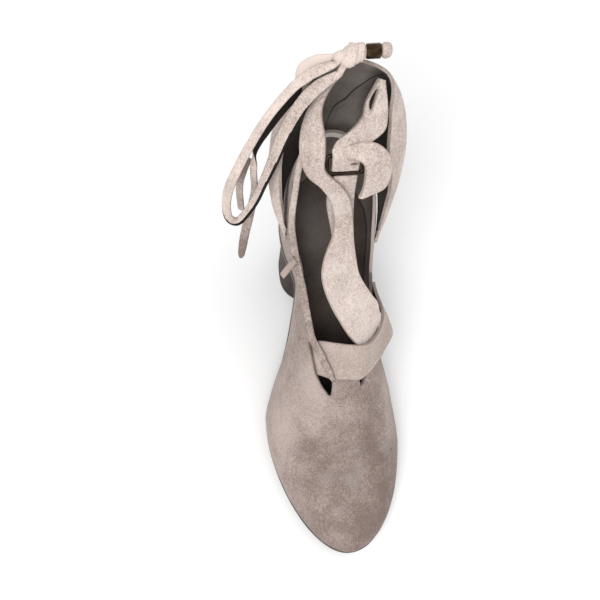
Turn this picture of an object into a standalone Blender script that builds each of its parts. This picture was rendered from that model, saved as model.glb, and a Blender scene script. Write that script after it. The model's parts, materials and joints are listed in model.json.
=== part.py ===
"""A women's right shoe: closed suede toe, crossed wrap straps, a buckle, a tied bow and a chunky heel.

Frame: +X to the toe, +Y to the inner side of the foot, +Z up, floor at Z = 0, origin under the box's middle.
Tables and sizes are in millimetres. MM turns them into Blender's metres.
"""
import math
from collections import namedtuple

import bmesh
import bpy
from mathutils import Vector

MM = 0.001

# Driving sizes
BACK = -112.0          # rear end of the last
TOE = 116.8            # tip of the last
WALL = 1.8             # suede with its lining
GAP = 0.3              # clearance between pieces that touch
SEAT_GAP = 0.45        # clearance under the curved heel seat
SOLE = 4.0             # outsole under the ball
INSOLE = 2.0
STRAP = 1.8            # thickness of a strap
CORD = 2.1             # radius of the ties and of the side lace
TOP_PIECE = 6.0        # rubber top piece under the heel
SOLE_LIP = 1.2         # the outsole stands this far out of the upper
RIDGE_INSET = 1.4      # the ridge slopes, so the wall is this much deeper there than it is thick
CENTRE = Vector((-3.0, 1.1, 0.0))    # middle of the shoe's box in the tables' frame

# The last, a row for each section: height of the feather edge, half-widths to the outer (lateral) and
# inner (medial) side of the axis, the axis' offset, height of the ridge, and how full the section is
Section = namedtuple("Section", "x feather lateral medial axis ridge full")
LAST = [
    Section(-112, 86.0, 30.0, 29.5, 0.0, 158, 2.4),
    Section(-90, 78.5, 30.0, 29.5, 0.0, 146, 2.4),
    Section(-70, 67.0, 27.0, 28.5, 0.0, 126, 2.35),
    Section(-50, 52.0, 20.5, 26.5, 1.0, 105, 2.6),
    Section(-30, 34.5, 24.9, 27.5, 2.0, 89, 1.85),
    Section(-10, 18.0, 31.8, 32.5, 3.0, 77.5, 1.8),
    Section(10, 7.5, 40.8, 37.0, 3.5, 66, 1.95),
    Section(30, SOLE, 45.4, 40.5, 3.0, 54, 2.1),
    Section(50, SOLE, 45.5, 41.8, 3.0, 43.5, 2.2),
    Section(75, SOLE, 45.5, 41.8, 3.5, 33.5, 2.3),
    Section(95, 5.2, 45.5, 41.8, 4.5, 27.0, 2.3),
    Section(110, 7.6, 45.5, 41.8, 5.5, 21.5, 2.2),
    Section(118, 9.5, 45.5, 41.8, 6.0, 16.5, 2.0),
]

# Round ends of the outline: where each starts, where it ends, and how blunt it is
EndCap = namedtuple("EndCap", "start end blunt")
TOE_LATERAL = EndCap(40.0, TOE, 1.38)
TOE_MEDIAL = EndCap(46.0, TOE, 1.85)
HEEL_END = EndCap(-72.0, BACK, 2.1)

TUCK = 0.05            # the wall pulls in by this share at the feather edge
TUCK_HEIGHT = 10.0
COUNTER_REACH = 45.0   # length over which the counter bulges backwards
COUNTER_BULGE = 0.20
COUNTER_LEAN = 0.0035

# Top edge of the upper seen from the side: its height on the outer and on the inner side
Edge = namedtuple("Edge", "x lateral medial")
TOPLINE = [
    Edge(-130, 134, 134),
    Edge(-112, 131, 131),
    Edge(-93, 121.7, 121.5),
    Edge(-72, 103, 101),
    Edge(-55, 85.3, 82),
    Edge(-40, 74, 66),
    Edge(-25, 68.5, 53),
    Edge(-10, 65.8, 47.5),
]

# The throat seen from above: two notches beside a centre tab that runs back under the cross strap
Plan = namedtuple("Plan", "x y")
THROAT = [
    Plan(8, -12), Plan(16, -8.5), Plan(23, -3.5), Plan(17, -2.5), Plan(4, -2.5),
    Plan(4, 13.5), Plan(12, 14), Plan(17.5, 15.5), Plan(11, 19), Plan(2, 25.5),
    Plan(-10, 30.8), Plan(-40, 24), Plan(-40, -10), Plan(-10, -14.7),
]
THROAT_FLOOR = 30.0    # the throat's cutter starts this high, above the insole
CUT_SIDE = 80.0        # cutters reach this far to each side
CUT_MIDDLE = 8.0       # the topline changes from one side's height to the other within this
CUT_TOP = 215.0

# Straps, a row for each fold: one edge and the other edge of the band
Band = namedtuple("Band", "ax ay az bx by bz")
CROSS_STRAP = [
    Band(5, -17.5, 50, -15, -17.5, 52),
    Band(7, -12.4, 54.5, -12, -13.6, 58.5),
    Band(9.5, -8.5, 63.5, -10, -9, 71.5),
    Band(12.5, -2.5, 66.8, -7, 0, 77),
    Band(13.5, 6, 67.2, -5, 9, 78.5),
    Band(13, 15, 64.5, -5.5, 18, 76),
    Band(4, 25, 60, -11, 25, 70),
    Band(-8, 34, 54, -19, 30, 66),
    Band(-18, 39.5, 50, -28, 32, 65),
    Band(-30, 35.5, 48.5, -38, 30, 63.5),
    Band(-40, 29.8, 50, -47, 28.7, 63),
]
WRAP_STRAP = [
    Band(-2, 16, 70.5, -10, 25.8, 61),
    Band(-5, 13, 74, -17, 27.6, 63.5),
    Band(-11, 7, 80, -24, 29, 67.5),
    Band(-20, 0, 89, -31, 27, 74),
    Band(-30, -6, 98, -34.5, 21.5, 84.5),
    Band(-38, -9, 107, -41, 13, 101),
    Band(-46, -8, 115, -48, 10, 112),
    Band(-55, -4, 124, -55, 8, 122),
    Band(-62, -3, 131, -62, 7, 130),
    Band(-69, -5, 138, -70, 5, 138),
    Band(-75, -10, 143, -75, 0, 145),
    Band(-80, -17, 147.5, -79.5, -8.2, 152),
    Band(-87, -20, 151, -85.5, -8.5, 158),
    Band(-94, -20.5, 156, -92, -8.5, 163),
    Band(-101, -19, 161, -100, -10, 168),
    Band(-106, -16, 168, -104.5, -9.5, 173.5),
    Band(-110, -12.5, 175.5, -109, -6, 180),
    Band(-114.5, -7, 182, -114, 0, 184.5),
]
BUCKLE_STRAP = [
    Band(-45, -2.5, 107, -45, 7.5, 104.2),
    Band(-51, -2.5, 113.2, -51, 8, 110.5),
    Band(-58, -3.5, 121, -58, 8, 119.5),
    Band(-69, -6.5, 132.8, -69, 8, 131),
    Band(-74.5, -6.0, 139.2, -74.5, 8, 138.5),
    Band(-79.1, -3.5, 147.5, -79.1, 8.5, 147.5),
]
ANKLE_STRAP = [
    Band(-113.4, 17.2, 177.8, -113.9, 20.4, 175.6),
    Band(-106.5, 11.7, 171, -108, 22.5, 167),
    Band(-100, 9.5, 167, -102, 23, 162),
    Band(-95, 4, 164, -96, 21.5, 160),
    Band(-91.5, -2, 162, -90.5, 15, 159.5),
    Band(-87, -5.3, 161, -86.6, 9.5, 160),
    Band(-84, -5.2, 158.1, -83.8, 8.8, 157.9),
    Band(-80.9, -5, 150.2, -80.8, 8.6, 150.1),
]
STRAP_END = [
    Band(-83.8, 1, 157.8, -88, 1, 161.3),
    Band(-81, 7.5, 158.7, -88.5, 9, 163.3),
    Band(-78.3, 10.5, 157.5, -88, 17, 162),
    Band(-76, 11, 154.5, -84, 24, 156),
    Band(-74, 11, 151, -78, 25, 149.5),
    Band(-71.5, 10.5, 147.5, -73, 22.5, 144.5),
    Band(-69.5, 9.5, 144.5, -71, 16.5, 142),
    Band(-68.5, 8.5, 143, -68, 10.5, 142.2),
]
LACE_KEEPER = [
    Band(-52.7, -20.4, 92.2, -55.2, -22.9, 94.4),
    Band(-50.6, -22.7, 91, -53.1, -25.2, 93),
    Band(-49.5, -24.5, 86, -52.1, -27.1, 88),
    Band(-48.1, -27.4, 78, -50.8, -29.6, 80),
]

# The cuff behind the ankle, a row for each fold: its low edge round the counter, its waist and its top edge
Cuff = namedtuple("Cuff", "ax ay az mx my mz bx by bz")
ANKLE_BAND = [
    Cuff(-68, -25.9, 89, -70, -26.1, 93.5, -72, -26.2, 98),
    Cuff(-81, -28.4, 103, -81.5, -33, 112, -80.5, -29.5, 126),
    Cuff(-94, -25.7, 113, -95.5, -34.5, 126, -91.5, -29.5, 144),
    Cuff(-106.5, -18.6, 120, -112.5, -30.5, 140, -106, -25, 161.5),
    Cuff(-113.6, -9.4, 123, -121.5, -18, 152, -116, -15, 176.5),
    Cuff(-116.4, 1, 124, -122.5, 3, 157, -120, 1, 185),
    Cuff(-113.6, 10.4, 123, -119.5, 28, 152, -115.5, 22.3, 177.5),
    Cuff(-106.5, 18.8, 120, -110, 36.5, 142, -104.5, 25.4, 161),
    Cuff(-94, 25.7, 113, -97, 38, 127, -91.5, 26.6, 145),
    Cuff(-81, 29.5, 103, -81.5, 34, 112, -79, 28.8, 127),
    Cuff(-65, 28.1, 85, -67, 28.2, 89, -68.5, 27.9, 93),
]

# Routes of the laces and cords, points chosen by hand
Point = namedtuple("Point", "x y z")
LACE = [Point(14.8, -2, 69.8), Point(7.2, -5.8, 71.8), Point(-1.5, -9.2, 73.5), Point(-7, -11.6, 73.2),
        Point(-12.5, -13.4, 72.2), Point(-20.3, -14.3, 72), Point(-30, -15.5, 74), Point(-41.4, -17.2, 79.5),
        Point(-49.5, -19.2, 85), Point(-57.5, -21, 92), Point(-68, -23, 104), Point(-74, -23, 113),
        Point(-80, -22, 127.5), Point(-86, -20.8, 141), Point(-92, -18.5, 151)]
BOW_LOOP = [Point(-115.4, -5.5, 187.7), Point(-112.9, -13.9, 187.2), Point(-110.2, -19.3, 186),
            Point(-107.1, -25.5, 183), Point(-99, -36.4, 174.5), Point(-92, -45.4, 161), Point(-85, -53, 147),
            Point(-79.5, -57.8, 136), Point(-75, -59.3, 125), Point(-72.2, -58, 116.5),
            Point(-72.2, -53.6, 111.8), Point(-75.3, -48.7, 115), Point(-79.1, -43.3, 124),
            Point(-84.4, -38.6, 135), Point(-89.7, -34.1, 145.5), Point(-95.3, -29.9, 155.5),
            Point(-101, -24.6, 166), Point(-105.6, -18.2, 176.5), Point(-108.2, -12.4, 182.5),
            Point(-111.2, -3.4, 186.5)]
TIE_END = [Point(-119.7, -6.0, 187.2), Point(-119.4, -13.1, 185), Point(-118.4, -17.6, 182.5),
           Point(-116.6, -20.7, 179.5), Point(-113.8, -21.3, 176.5), Point(-110.9, -22.4, 173),
           Point(-108.3, -26.4, 169), Point(-104.6, -32, 163.5), Point(-100.2, -37.6, 157.5),
           Point(-95.5, -42.3, 151.5), Point(-88.6, -44, 142), Point(-86.1, -43.4, 123),
           Point(-82.7, -44.8, 110), Point(-77.4, -47.6, 98), Point(-71.8, -50.2, 85), Point(-65, -52.5, 72)]
TIE_INNER = [Point(-90.7, -47.8, 141.5), Point(-88.8, -49.6, 138), Point(-87.2, -51.2, 130),
             Point(-85.1, -51.7, 121.5), Point(-83, -51.4, 114), Point(-81.3, -51.1, 107.5)]

# Bow knot and metal tie tip behind the ankle
KNOT_CENTRE = Point(-118.5, 1.5, 189.8)
KNOT_HALF = Point(5.5, 7.5, 4.6)
TIP_START = Point(-119.5, 9.4, 190.6)
TIP_RADIUS = 3.5
TIP_TUBE = 6.8         # length of the metal tube
TIP_BEVEL = 0.5        # its ends are turned down by this much
TIP_FACETS = 8
Turn = namedtuple("Turn", "distance radius")
STUB = [Turn(0, 2.6), Turn(0.8, 3.4), Turn(2.6, 3.6), Turn(4.2, 2.9), Turn(5, 1.2)]

# Buckle frame
BUCKLE_CENTRE = Point(-82.8, 2.0, 152.4)
BUCKLE_WIDE = 19.0     # between the middles of its side bars
BUCKLE_TALL = 9.5
BUCKLE_BAR = 0.85      # radius of its bar
BUCKLE_CORNER = 2.0
BUCKLE_SLOPE = 50.0    # degrees that its plane leans back from the floor

# Heel block: rounded outlines at the seat and at the floor
HeelRing = namedtuple("HeelRing", "x y length width square")
HEEL_SEAT = HeelRing(-84.0, 0.0, 26.5, 27.5, 2.4)
HEEL_FOOT = HeelRing(-77.5, 0.5, 23.5, 25.5, 2.7)
HEEL_WAIST = 1.2       # the block draws in by this much half way down
HEEL_RINGS = 6

# Mesh steps
LENGTH_STEPS = 44
GIRTH_STEPS = 22
TOPLINE_STEPS = 30
STRAP_STEPS = 4        # sections between two rows of a strap
CUFF_STEPS = 6         # strips across the cuff
CORD_STEP = 5.0        # spacing of points on a cord
ROUTE_STEPS = 40       # places tried between two of a route's points
BAR_STEPS = 2          # bevel steps in a quarter turn of a cord or bar
CORNER_STEPS = 3       # pieces of the buckle's rounded corner
KNOT_AROUND = 16
KNOT_RINGS = 10
SHARP_ANGLE = math.radians(40)
WELD = 1e-6            # metres; corners closer than this are one
THINNEST = 1e-7        # metres; faces thinner than this are left out


def material(name, colour, roughness, metallic=0.0):
    made = bpy.data.materials.new(name)
    made.use_nodes = True
    shader = made.node_tree.nodes["Principled BSDF"]
    shader.inputs["Base Color"].default_value = (*colour, 1.0)
    shader.inputs["Roughness"].default_value = roughness
    shader.inputs["Metallic"].default_value = metallic
    return made


def add_object(name, data, finish):
    """An object for one sub-part, placed so that the shoe's box is centred on the origin."""
    thing = bpy.data.objects.new(name, data)
    thing.location = -CENTRE * MM
    data.materials.append(finish)
    bpy.context.scene.collection.objects.link(thing)
    return thing


def mesh_from(name, points, faces):
    """A welded mesh with its faces turned out."""
    mesh = bpy.data.meshes.new(name)
    work = bmesh.new()
    corners = [work.verts.new(Vector(point) * MM) for point in points]
    for face in faces:
        work.faces.new([corners[index] for index in face])
    bmesh.ops.remove_doubles(work, verts=work.verts, dist=WELD)
    bmesh.ops.dissolve_degenerate(work, dist=THINNEST, edges=work.edges)
    bmesh.ops.recalc_face_normals(work, faces=work.faces)
    work.to_mesh(mesh)
    work.free()
    mesh.shade_smooth()
    mesh.set_sharp_from_angle(angle=SHARP_ANGLE)
    return mesh


def smooth_value(rows, column, x):
    """A table's column at x, on a smooth curve that never overshoots its rows."""
    xs = [row.x for row in rows]
    ys = [getattr(row, column) for row in rows]
    x = min(max(x, xs[0]), xs[-1])
    spot = max(i for i in range(len(xs) - 1) if xs[i] <= x)
    steps = [(ys[i + 1] - ys[i]) / (xs[i + 1] - xs[i]) for i in range(len(xs) - 1)]

    def slope(i):
        if i == 0:
            return steps[0]
        if i == len(steps):
            return steps[-1]
        before, after = steps[i - 1], steps[i]
        return 2 * before * after / (before + after) if before * after > 0 else 0.0

    span = xs[spot + 1] - xs[spot]
    t = (x - xs[spot]) / span
    return (ys[spot] * (1 + 2 * t) * (1 - t) ** 2 + slope(spot) * span * t * (1 - t) ** 2
            + ys[spot + 1] * t * t * (3 - 2 * t) + slope(spot + 1) * span * t * t * (t - 1))


def end_share(x, cap):
    """Share of the half-width that is left where an end of the outline rounds off."""
    t = (x - cap.start) / (cap.end - cap.start)
    return math.sqrt(max(0.0, 1 - max(0.0, t) ** cap.blunt))


def last_point(x, turn, inset=0.0, lift=0.0):
    """The last's surface: turn is 0 at the lateral feather edge, 1 at the ridge and 2 at the medial edge."""
    row = Section(x, *(smooth_value(LAST, column, x) for column in Section._fields[1:]))
    lateral = turn < 1
    half = (row.lateral if lateral else row.medial) - inset
    half *= end_share(x, TOE_LATERAL if lateral else TOE_MEDIAL) * end_share(x, HEEL_END)
    angle = min(turn, 2 - turn) * math.pi / 2
    tall = row.ridge - row.feather - lift - RIDGE_INSET * inset
    rise = tall * max(0.0, math.sin(angle)) ** (2 / row.full)
    half *= max(0.0, math.cos(angle)) ** (2 / row.full)
    half *= 1 - TUCK * max(0.0, 1 - rise / TUCK_HEIGHT) ** 2
    back = min(max((BACK + COUNTER_REACH - x) / COUNTER_REACH, 0.0), 1.0)
    lean = back * rise * (COUNTER_LEAN * rise - COUNTER_BULGE)
    middle = (TOE + BACK) / 2
    shrink = 1 - 2 * inset / (TOE - BACK)
    y = row.axis + (-half if lateral else half)
    return Vector((middle + (x - middle) * shrink + lean, y, row.feather + lift + rise))


def stations():
    """Places along the last, closer together at its round ends."""
    return [(TOE + BACK) / 2 - (TOE - BACK) / 2 * math.cos(math.pi * i / LENGTH_STEPS)
            for i in range(LENGTH_STEPS + 1)]


def loft(name, rings):
    """A closed skin over outlines with equal numbers of points, flat at both ends."""
    count = len(rings[0])
    last = count * (len(rings) - 1)
    faces = [list(range(count)), [last + j for j in range(count)]]
    for start in range(0, last, count):
        for j in range(count):
            k = (j + 1) % count
            faces.append([start + j, start + k, start + count + k, start + count + j])
    return mesh_from(name, [point for ring in rings for point in ring], faces)


def combine(thing, operation, name, mesh):
    """Joins a hidden shape to an object, or cuts it away, with a Boolean modifier."""
    tool = bpy.data.objects.new(name, mesh)
    tool.location = thing.location
    tool.hide_render = True
    tool.display_type = "WIRE"
    bpy.context.scene.collection.objects.link(tool)
    change = thing.modifiers.new(name, "BOOLEAN")
    change.operation = operation
    change.object = tool


def topline_cutter():
    """Everything above the topline, which has its own height on the outer and on the inner side."""
    start, end = TOPLINE[0].x, TOPLINE[-1].x
    rings = []
    for i in range(TOPLINE_STEPS + 1):
        x = start + (end - start) * i / TOPLINE_STEPS
        lateral, medial = (smooth_value(TOPLINE, side, x) for side in ("lateral", "medial"))
        rings.append([(x, -CUT_SIDE, lateral), (x, -CUT_MIDDLE, lateral), (x, CUT_MIDDLE, medial),
                      (x, CUT_SIDE, medial), (x, CUT_SIDE, CUT_TOP), (x, -CUT_SIDE, CUT_TOP)])
    return loft("cut_topline", rings)


def throat_cutter():
    return loft("cut_throat", [[(*spot, level) for spot in THROAT] for level in (THROAT_FLOOR, CUT_TOP)])


def upper(finish):
    """Toe, quarters and counter: one hollow wall, open at the throat and underneath."""
    points = []
    faces = []
    rows = GIRTH_STEPS + 1
    for inset in (0.0, WALL):
        for x in stations():
            points += [last_point(x, 2 * j / GIRTH_STEPS, inset, GAP) for j in range(rows)]
    inner = (LENGTH_STEPS + 1) * rows
    for i in range(LENGTH_STEPS):
        for j in range(GIRTH_STEPS):
            corner = i * rows + j
            quad = [corner, corner + 1, corner + rows + 1, corner + rows]
            faces += [quad, [inner + index for index in reversed(quad)]]
        for j in (0, GIRTH_STEPS):
            low = i * rows + j
            faces.append([low, low + rows, inner + low + rows, inner + low])
    wall = add_object("upper", mesh_from("upper", points, faces), finish)
    combine(wall, "DIFFERENCE", "cut_topline", topline_cutter())
    combine(wall, "DIFFERENCE", "cut_throat", throat_cutter())


def plate(name, rings, finish):
    """A solid between stacked outlines, each a list of (x, lateral y, medial y, z) along the shoe."""
    points = []
    for ring in rings:
        for x, lateral, medial, z in ring:
            points += [(x, lateral, z), (x, medial, z)]
    count = len(rings[0])
    faces = []
    for k in (0, len(rings) - 1):
        base = 2 * count * k
        for j in range(base, base + 2 * count - 2, 2):
            faces.append([j, j + 1, j + 3, j + 2])
    for k in range(len(rings) - 1):
        low, high = 2 * count * k, 2 * count * (k + 1)
        for side in (0, 1):
            for i in range(count - 1):
                j = 2 * i + side
                faces.append([low + j, low + j + 2, high + j + 2, high + j])
    add_object(name, mesh_from(name, points, faces), finish)


def feather_ring(inset, drop):
    """The feather edge's outline, moved in by inset, at a height below the feather line."""
    ring = []
    for x in stations():
        lateral = last_point(x, 0.0, inset)
        medial = last_point(x, 2.0, inset)
        ring.append((lateral.x, lateral.y, medial.y, smooth_value(LAST, "feather", lateral.x) - drop))
    return ring


def heel_ring(share):
    """The heel block's outline, from the floor (0) to the seat (1)."""
    mixed = HeelRing(*(a + (b - a) * share for a, b in zip(HEEL_FOOT, HEEL_SEAT)))
    waist = HEEL_WAIST * math.sin(math.pi * share)
    ring = []
    for i in range(LENGTH_STEPS // 2 + 1):
        along = -math.cos(2 * math.pi * i / LENGTH_STEPS)
        x = mixed.x + (mixed.length - waist) * along
        half = (mixed.width - waist) * max(0.0, 1 - abs(along) ** mixed.square) ** (1 / mixed.square)
        seat = smooth_value(LAST, "feather", x) - SOLE - SEAT_GAP
        foot = TOP_PIECE + GAP
        ring.append((x, mixed.y - half, mixed.y + half, foot + (seat - foot) * share))
    return ring


def heel(block, rubber):
    plate("heel", [heel_ring(k / HEEL_RINGS) for k in range(HEEL_RINGS + 1)], block)
    foot = heel_ring(0.0)
    plate("heel_top_piece", [[(x, a, b, z) for x, a, b, _ in foot] for z in (0.0, TOP_PIECE)], rubber)


def along_rows(rows, t):
    """A smooth curve through all of a table's columns; t runs from 0 to the last row's number."""
    spot = min(int(t), len(rows) - 2)
    t -= spot
    before, start = Vector(rows[max(spot - 1, 0)]), Vector(rows[spot])
    end, after = Vector(rows[spot + 1]), Vector(rows[min(spot + 2, len(rows) - 1)])
    return 0.5 * (2 * start + (end - before) * t + (2 * before - 5 * start + 4 * end - after) * t * t
                  + (3 * start - before - 3 * end + after) * t ** 3)


def band_mesh(name, rows, across=2):
    """A strap of even thickness through its rows' edges, with a number of steps across it."""
    steps = (len(rows) - 1) * STRAP_STEPS
    lines = []
    for i in range(steps + 1):
        spot = along_rows(rows, i / STRAP_STEPS)
        places = [spot[k:k + 3] for k in range(0, len(spot), 3)]
        lines.append([along_rows(places, (len(places) - 1) * j / across) for j in range(across + 1)])
    rings = []
    for i, line in enumerate(lines):
        ahead, behind = lines[min(i + 1, steps)], lines[max(i - 1, 0)]
        run = (ahead[0] + ahead[-1]) - (behind[0] + behind[-1])
        top, under = [], []
        for j, place in enumerate(line):
            side = line[min(j + 1, across)] - line[max(j - 1, 0)]
            up = run.cross(side).normalized() * STRAP / 2
            top.append(place + up)
            under.append(place - up)
        rings.append(top + under[::-1])
    return loft(name, rings)


def band(name, rows, finish, across=2):
    return add_object(name, band_mesh(name, rows, across), finish)


def ankle_strap(finish):
    """The strap that runs through the buckle, with its curled free end joined to it."""
    strap = band("ankle_strap", ANKLE_STRAP, finish)
    combine(strap, "UNION", "strap_end", band_mesh("strap_end", STRAP_END))


def bar(name, points, radius, finish, closed=False):
    """A round bar or cord through points."""
    curve = bpy.data.curves.new(name, "CURVE")
    curve.dimensions = "3D"
    curve.bevel_depth = radius * MM
    curve.bevel_resolution = BAR_STEPS
    curve.use_fill_caps = not closed
    spline = curve.splines.new("POLY")
    spline.points.add(len(points) - 1)
    spline.use_cyclic_u = closed
    for place, point in zip(spline.points, points):
        place.co = (*(point * MM), 1.0)
    add_object(name, curve, finish)


def cord(name, route, finish):
    """A cord along a smooth curve through its route's points."""
    points = [Vector(route[0])]
    last = (len(route) - 1) * ROUTE_STEPS
    for i in range(1, last + 1):
        spot = along_rows(route, i / ROUTE_STEPS)
        if i == last or (spot - points[-1]).length >= CORD_STEP:
            points.append(spot)
    bar(name, points, CORD, finish)


def turned(name, profile, start, facets, finish):
    """A solid turned about a line that runs along +Y from start; profile holds (distance, radius)."""
    rings = []
    for distance, radius in profile:
        turns = [2 * math.pi * (k + 0.5) / facets for k in range(facets)]
        rings.append([(start.x + radius * math.cos(a), start.y + distance, start.z + radius * math.sin(a))
                      for a in turns])
    add_object(name, loft(name, rings), finish)


def tie_knot(finish):
    """The bow's knot: an egg lying across the back of the ankle."""
    mesh = bpy.data.meshes.new("tie_knot")
    work = bmesh.new()
    bmesh.ops.create_uvsphere(work, u_segments=KNOT_AROUND, v_segments=KNOT_RINGS, radius=MM)
    for corner in work.verts:
        corner.co = [c * half for c, half in zip(corner.co, KNOT_HALF)]
        corner.co += Vector(KNOT_CENTRE) * MM
    work.to_mesh(mesh)
    work.free()
    mesh.shade_smooth()
    add_object("tie_knot", mesh, finish)


def tie_tip(metal, suede):
    """The tie's second end: a faceted metal tube and the suede that stands out of it."""
    narrow = TIP_RADIUS - TIP_BEVEL
    tube = [Turn(0, narrow), Turn(TIP_BEVEL, TIP_RADIUS), Turn(TIP_TUBE - TIP_BEVEL, TIP_RADIUS),
            Turn(TIP_TUBE, narrow)]
    turned("tie_tube", tube, TIP_START, TIP_FACETS, metal)
    stub_start = TIP_START._replace(y=TIP_START.y + TIP_TUBE + GAP)
    turned("tie_tip", STUB, stub_start, 2 * TIP_FACETS, suede)


def buckle(metal):
    """A rectangular frame of round bar with rounded corners."""
    slope = math.radians(BUCKLE_SLOPE)
    across = Vector((0, 1, 0))
    up = Vector((-math.cos(slope), 0, math.sin(slope)))
    half_wide, half_tall = BUCKLE_WIDE / 2 - BUCKLE_CORNER, BUCKLE_TALL / 2 - BUCKLE_CORNER
    spots = []
    for corner, (side, level) in enumerate(((1, 1), (-1, 1), (-1, -1), (1, -1))):
        for step in range(CORNER_STEPS + 1):
            angle = math.pi / 2 * (corner + step / CORNER_STEPS)
            wide = side * half_wide + BUCKLE_CORNER * math.cos(angle)
            tall = level * half_tall + BUCKLE_CORNER * math.sin(angle)
            spots.append(Vector(BUCKLE_CENTRE) + across * wide + up * tall)
    bar("buckle_frame", spots, BUCKLE_BAR, metal, closed=True)


def build():
    for thing in list(bpy.data.objects):
        bpy.data.objects.remove(thing)
    suede = material("suede", (0.40, 0.32, 0.29), 0.95)
    lining = material("insole_leather", (0.035, 0.028, 0.025), 0.6)
    sole_leather = material("outsole_leather", (0.09, 0.07, 0.06), 0.5)
    heel_cover = material("heel_block", (0.09, 0.07, 0.06), 0.35)
    rubber = material("top_piece_rubber", (0.02, 0.02, 0.02), 0.7)
    bronze = material("dark_bronze", (0.10, 0.08, 0.05), 0.35, 1.0)

    plate("outsole", [feather_ring(-SOLE_LIP, SOLE), feather_ring(-SOLE_LIP, 0.0)], sole_leather)
    heel(heel_cover, rubber)
    upper(suede)
    plate("insole", [feather_ring(WALL + GAP, -GAP), feather_ring(WALL + GAP, -GAP - INSOLE)], lining)

    band("cross_strap", CROSS_STRAP, suede)
    band("wrap_strap", WRAP_STRAP, suede)
    band("buckle_strap", BUCKLE_STRAP, suede)
    band("ankle_band", ANKLE_BAND, suede, CUFF_STEPS)
    band("lace_keeper", LACE_KEEPER, suede)
    ankle_strap(suede)
    buckle(bronze)

    cord("side_lace", LACE, suede)
    cord("bow_loop", BOW_LOOP, suede)
    cord("tie_end", TIE_END, suede)
    cord("tie_inner", TIE_INNER, suede)
    tie_knot(suede)
    tie_tip(bronze, suede)


build()
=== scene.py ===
# %% [markdown]
# A strappy suede shoe with a chunky heel
#
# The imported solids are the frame: they give every piece its place and its size. This lesson dresses them,
# piece by piece, in suede, lining leather, thread and bronze. Sizes are in millimetres in the tables and
# are turned into Blender's metres at the moment a mesh is made.

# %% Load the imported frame
import json
import math
from collections import namedtuple

import bmesh
import bpy
import numpy as np
from mathutils import Matrix, Quaternion, Vector, noise

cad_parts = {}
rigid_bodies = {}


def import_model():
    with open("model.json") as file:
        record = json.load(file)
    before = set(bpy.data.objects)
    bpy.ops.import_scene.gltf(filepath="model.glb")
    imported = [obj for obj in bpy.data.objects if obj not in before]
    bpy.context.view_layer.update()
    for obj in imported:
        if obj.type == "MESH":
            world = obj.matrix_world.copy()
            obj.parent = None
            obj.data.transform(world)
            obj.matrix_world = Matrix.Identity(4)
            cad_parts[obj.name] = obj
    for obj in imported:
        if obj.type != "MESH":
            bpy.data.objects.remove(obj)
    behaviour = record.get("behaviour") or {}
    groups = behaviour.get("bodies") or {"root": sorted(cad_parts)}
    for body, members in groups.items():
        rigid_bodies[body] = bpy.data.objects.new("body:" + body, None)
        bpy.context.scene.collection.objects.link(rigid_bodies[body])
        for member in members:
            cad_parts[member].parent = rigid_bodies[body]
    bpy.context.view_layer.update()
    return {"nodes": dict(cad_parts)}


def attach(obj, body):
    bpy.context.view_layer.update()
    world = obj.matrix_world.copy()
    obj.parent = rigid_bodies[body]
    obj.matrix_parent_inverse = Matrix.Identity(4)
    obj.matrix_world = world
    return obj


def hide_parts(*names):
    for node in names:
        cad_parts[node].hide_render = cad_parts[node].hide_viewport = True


for thing in list(bpy.data.objects):
    bpy.data.objects.remove(thing)
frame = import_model()
MM = 0.001
CENTRE = Vector((-3.0, 1.1, 0.0))    # the box's middle in the frame of the tables below
print("frame:", len(frame["nodes"]), "nodes")

# %% [markdown]
# The camera
#
# The picture looks down on the shoe from above its toe, so the toe is large and the heel hides under the
# ankle straps. A camera is described here the way a photographer would: what it aims at, how far away it
# stands, how far round and how high. The lens is a little longer than the picture's, to frame one shoe. A
# Track To constraint could aim it too, but it needs a target object, and three axes need nothing else.

# %% Camera
Aim = namedtuple("Aim", "target distance around above lens shift_x shift_y")
AIM = Aim(target=Vector((-25.25, -51.8, 0.0)), distance=483.8, around=-3.54, above=78.05, lens=41.4,
          shift_x=0.09, shift_y=0.075)


def add_object(name, data):
    """An object in the scene that shows a camera, a lamp or a mesh."""
    made = bpy.data.objects.new(name, data)
    bpy.context.scene.collection.objects.link(made)
    return made


def make_camera(aim):
    """A camera that looks along the line from its place to its target, with the floor's X axis upright."""
    around, above = math.radians(aim.around), math.radians(aim.above)
    back = Vector((math.cos(around) * math.cos(above), math.sin(around) * math.cos(above), math.sin(above)))
    right = (-back).cross(Vector((0, 0, 1))).normalized()
    up = right.cross(-back)
    lens = bpy.data.cameras.new("camera")
    lens.sensor_width = 36.0
    lens.lens = aim.lens
    lens.shift_x, lens.shift_y = aim.shift_x, aim.shift_y
    lens.clip_start = 0.01
    camera = add_object("camera", lens)
    place = (aim.target - CENTRE + back * aim.distance) * MM
    camera.matrix_world = Matrix.Translation(place) @ Matrix((right, up, back)).transposed().to_4x4()
    bpy.context.scene.camera = camera
    return camera


print("camera at", [round(value, 3) for value in make_camera(AIM).location])

# %% [markdown]
# Finishes as expressions
#
# A finish is a small network of nodes. Written out node by node it is hard to read, so one class wraps a
# node's output and lets Python's own operators add the Math nodes. A second class holds the material and
# has one method that adds any other node.


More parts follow.
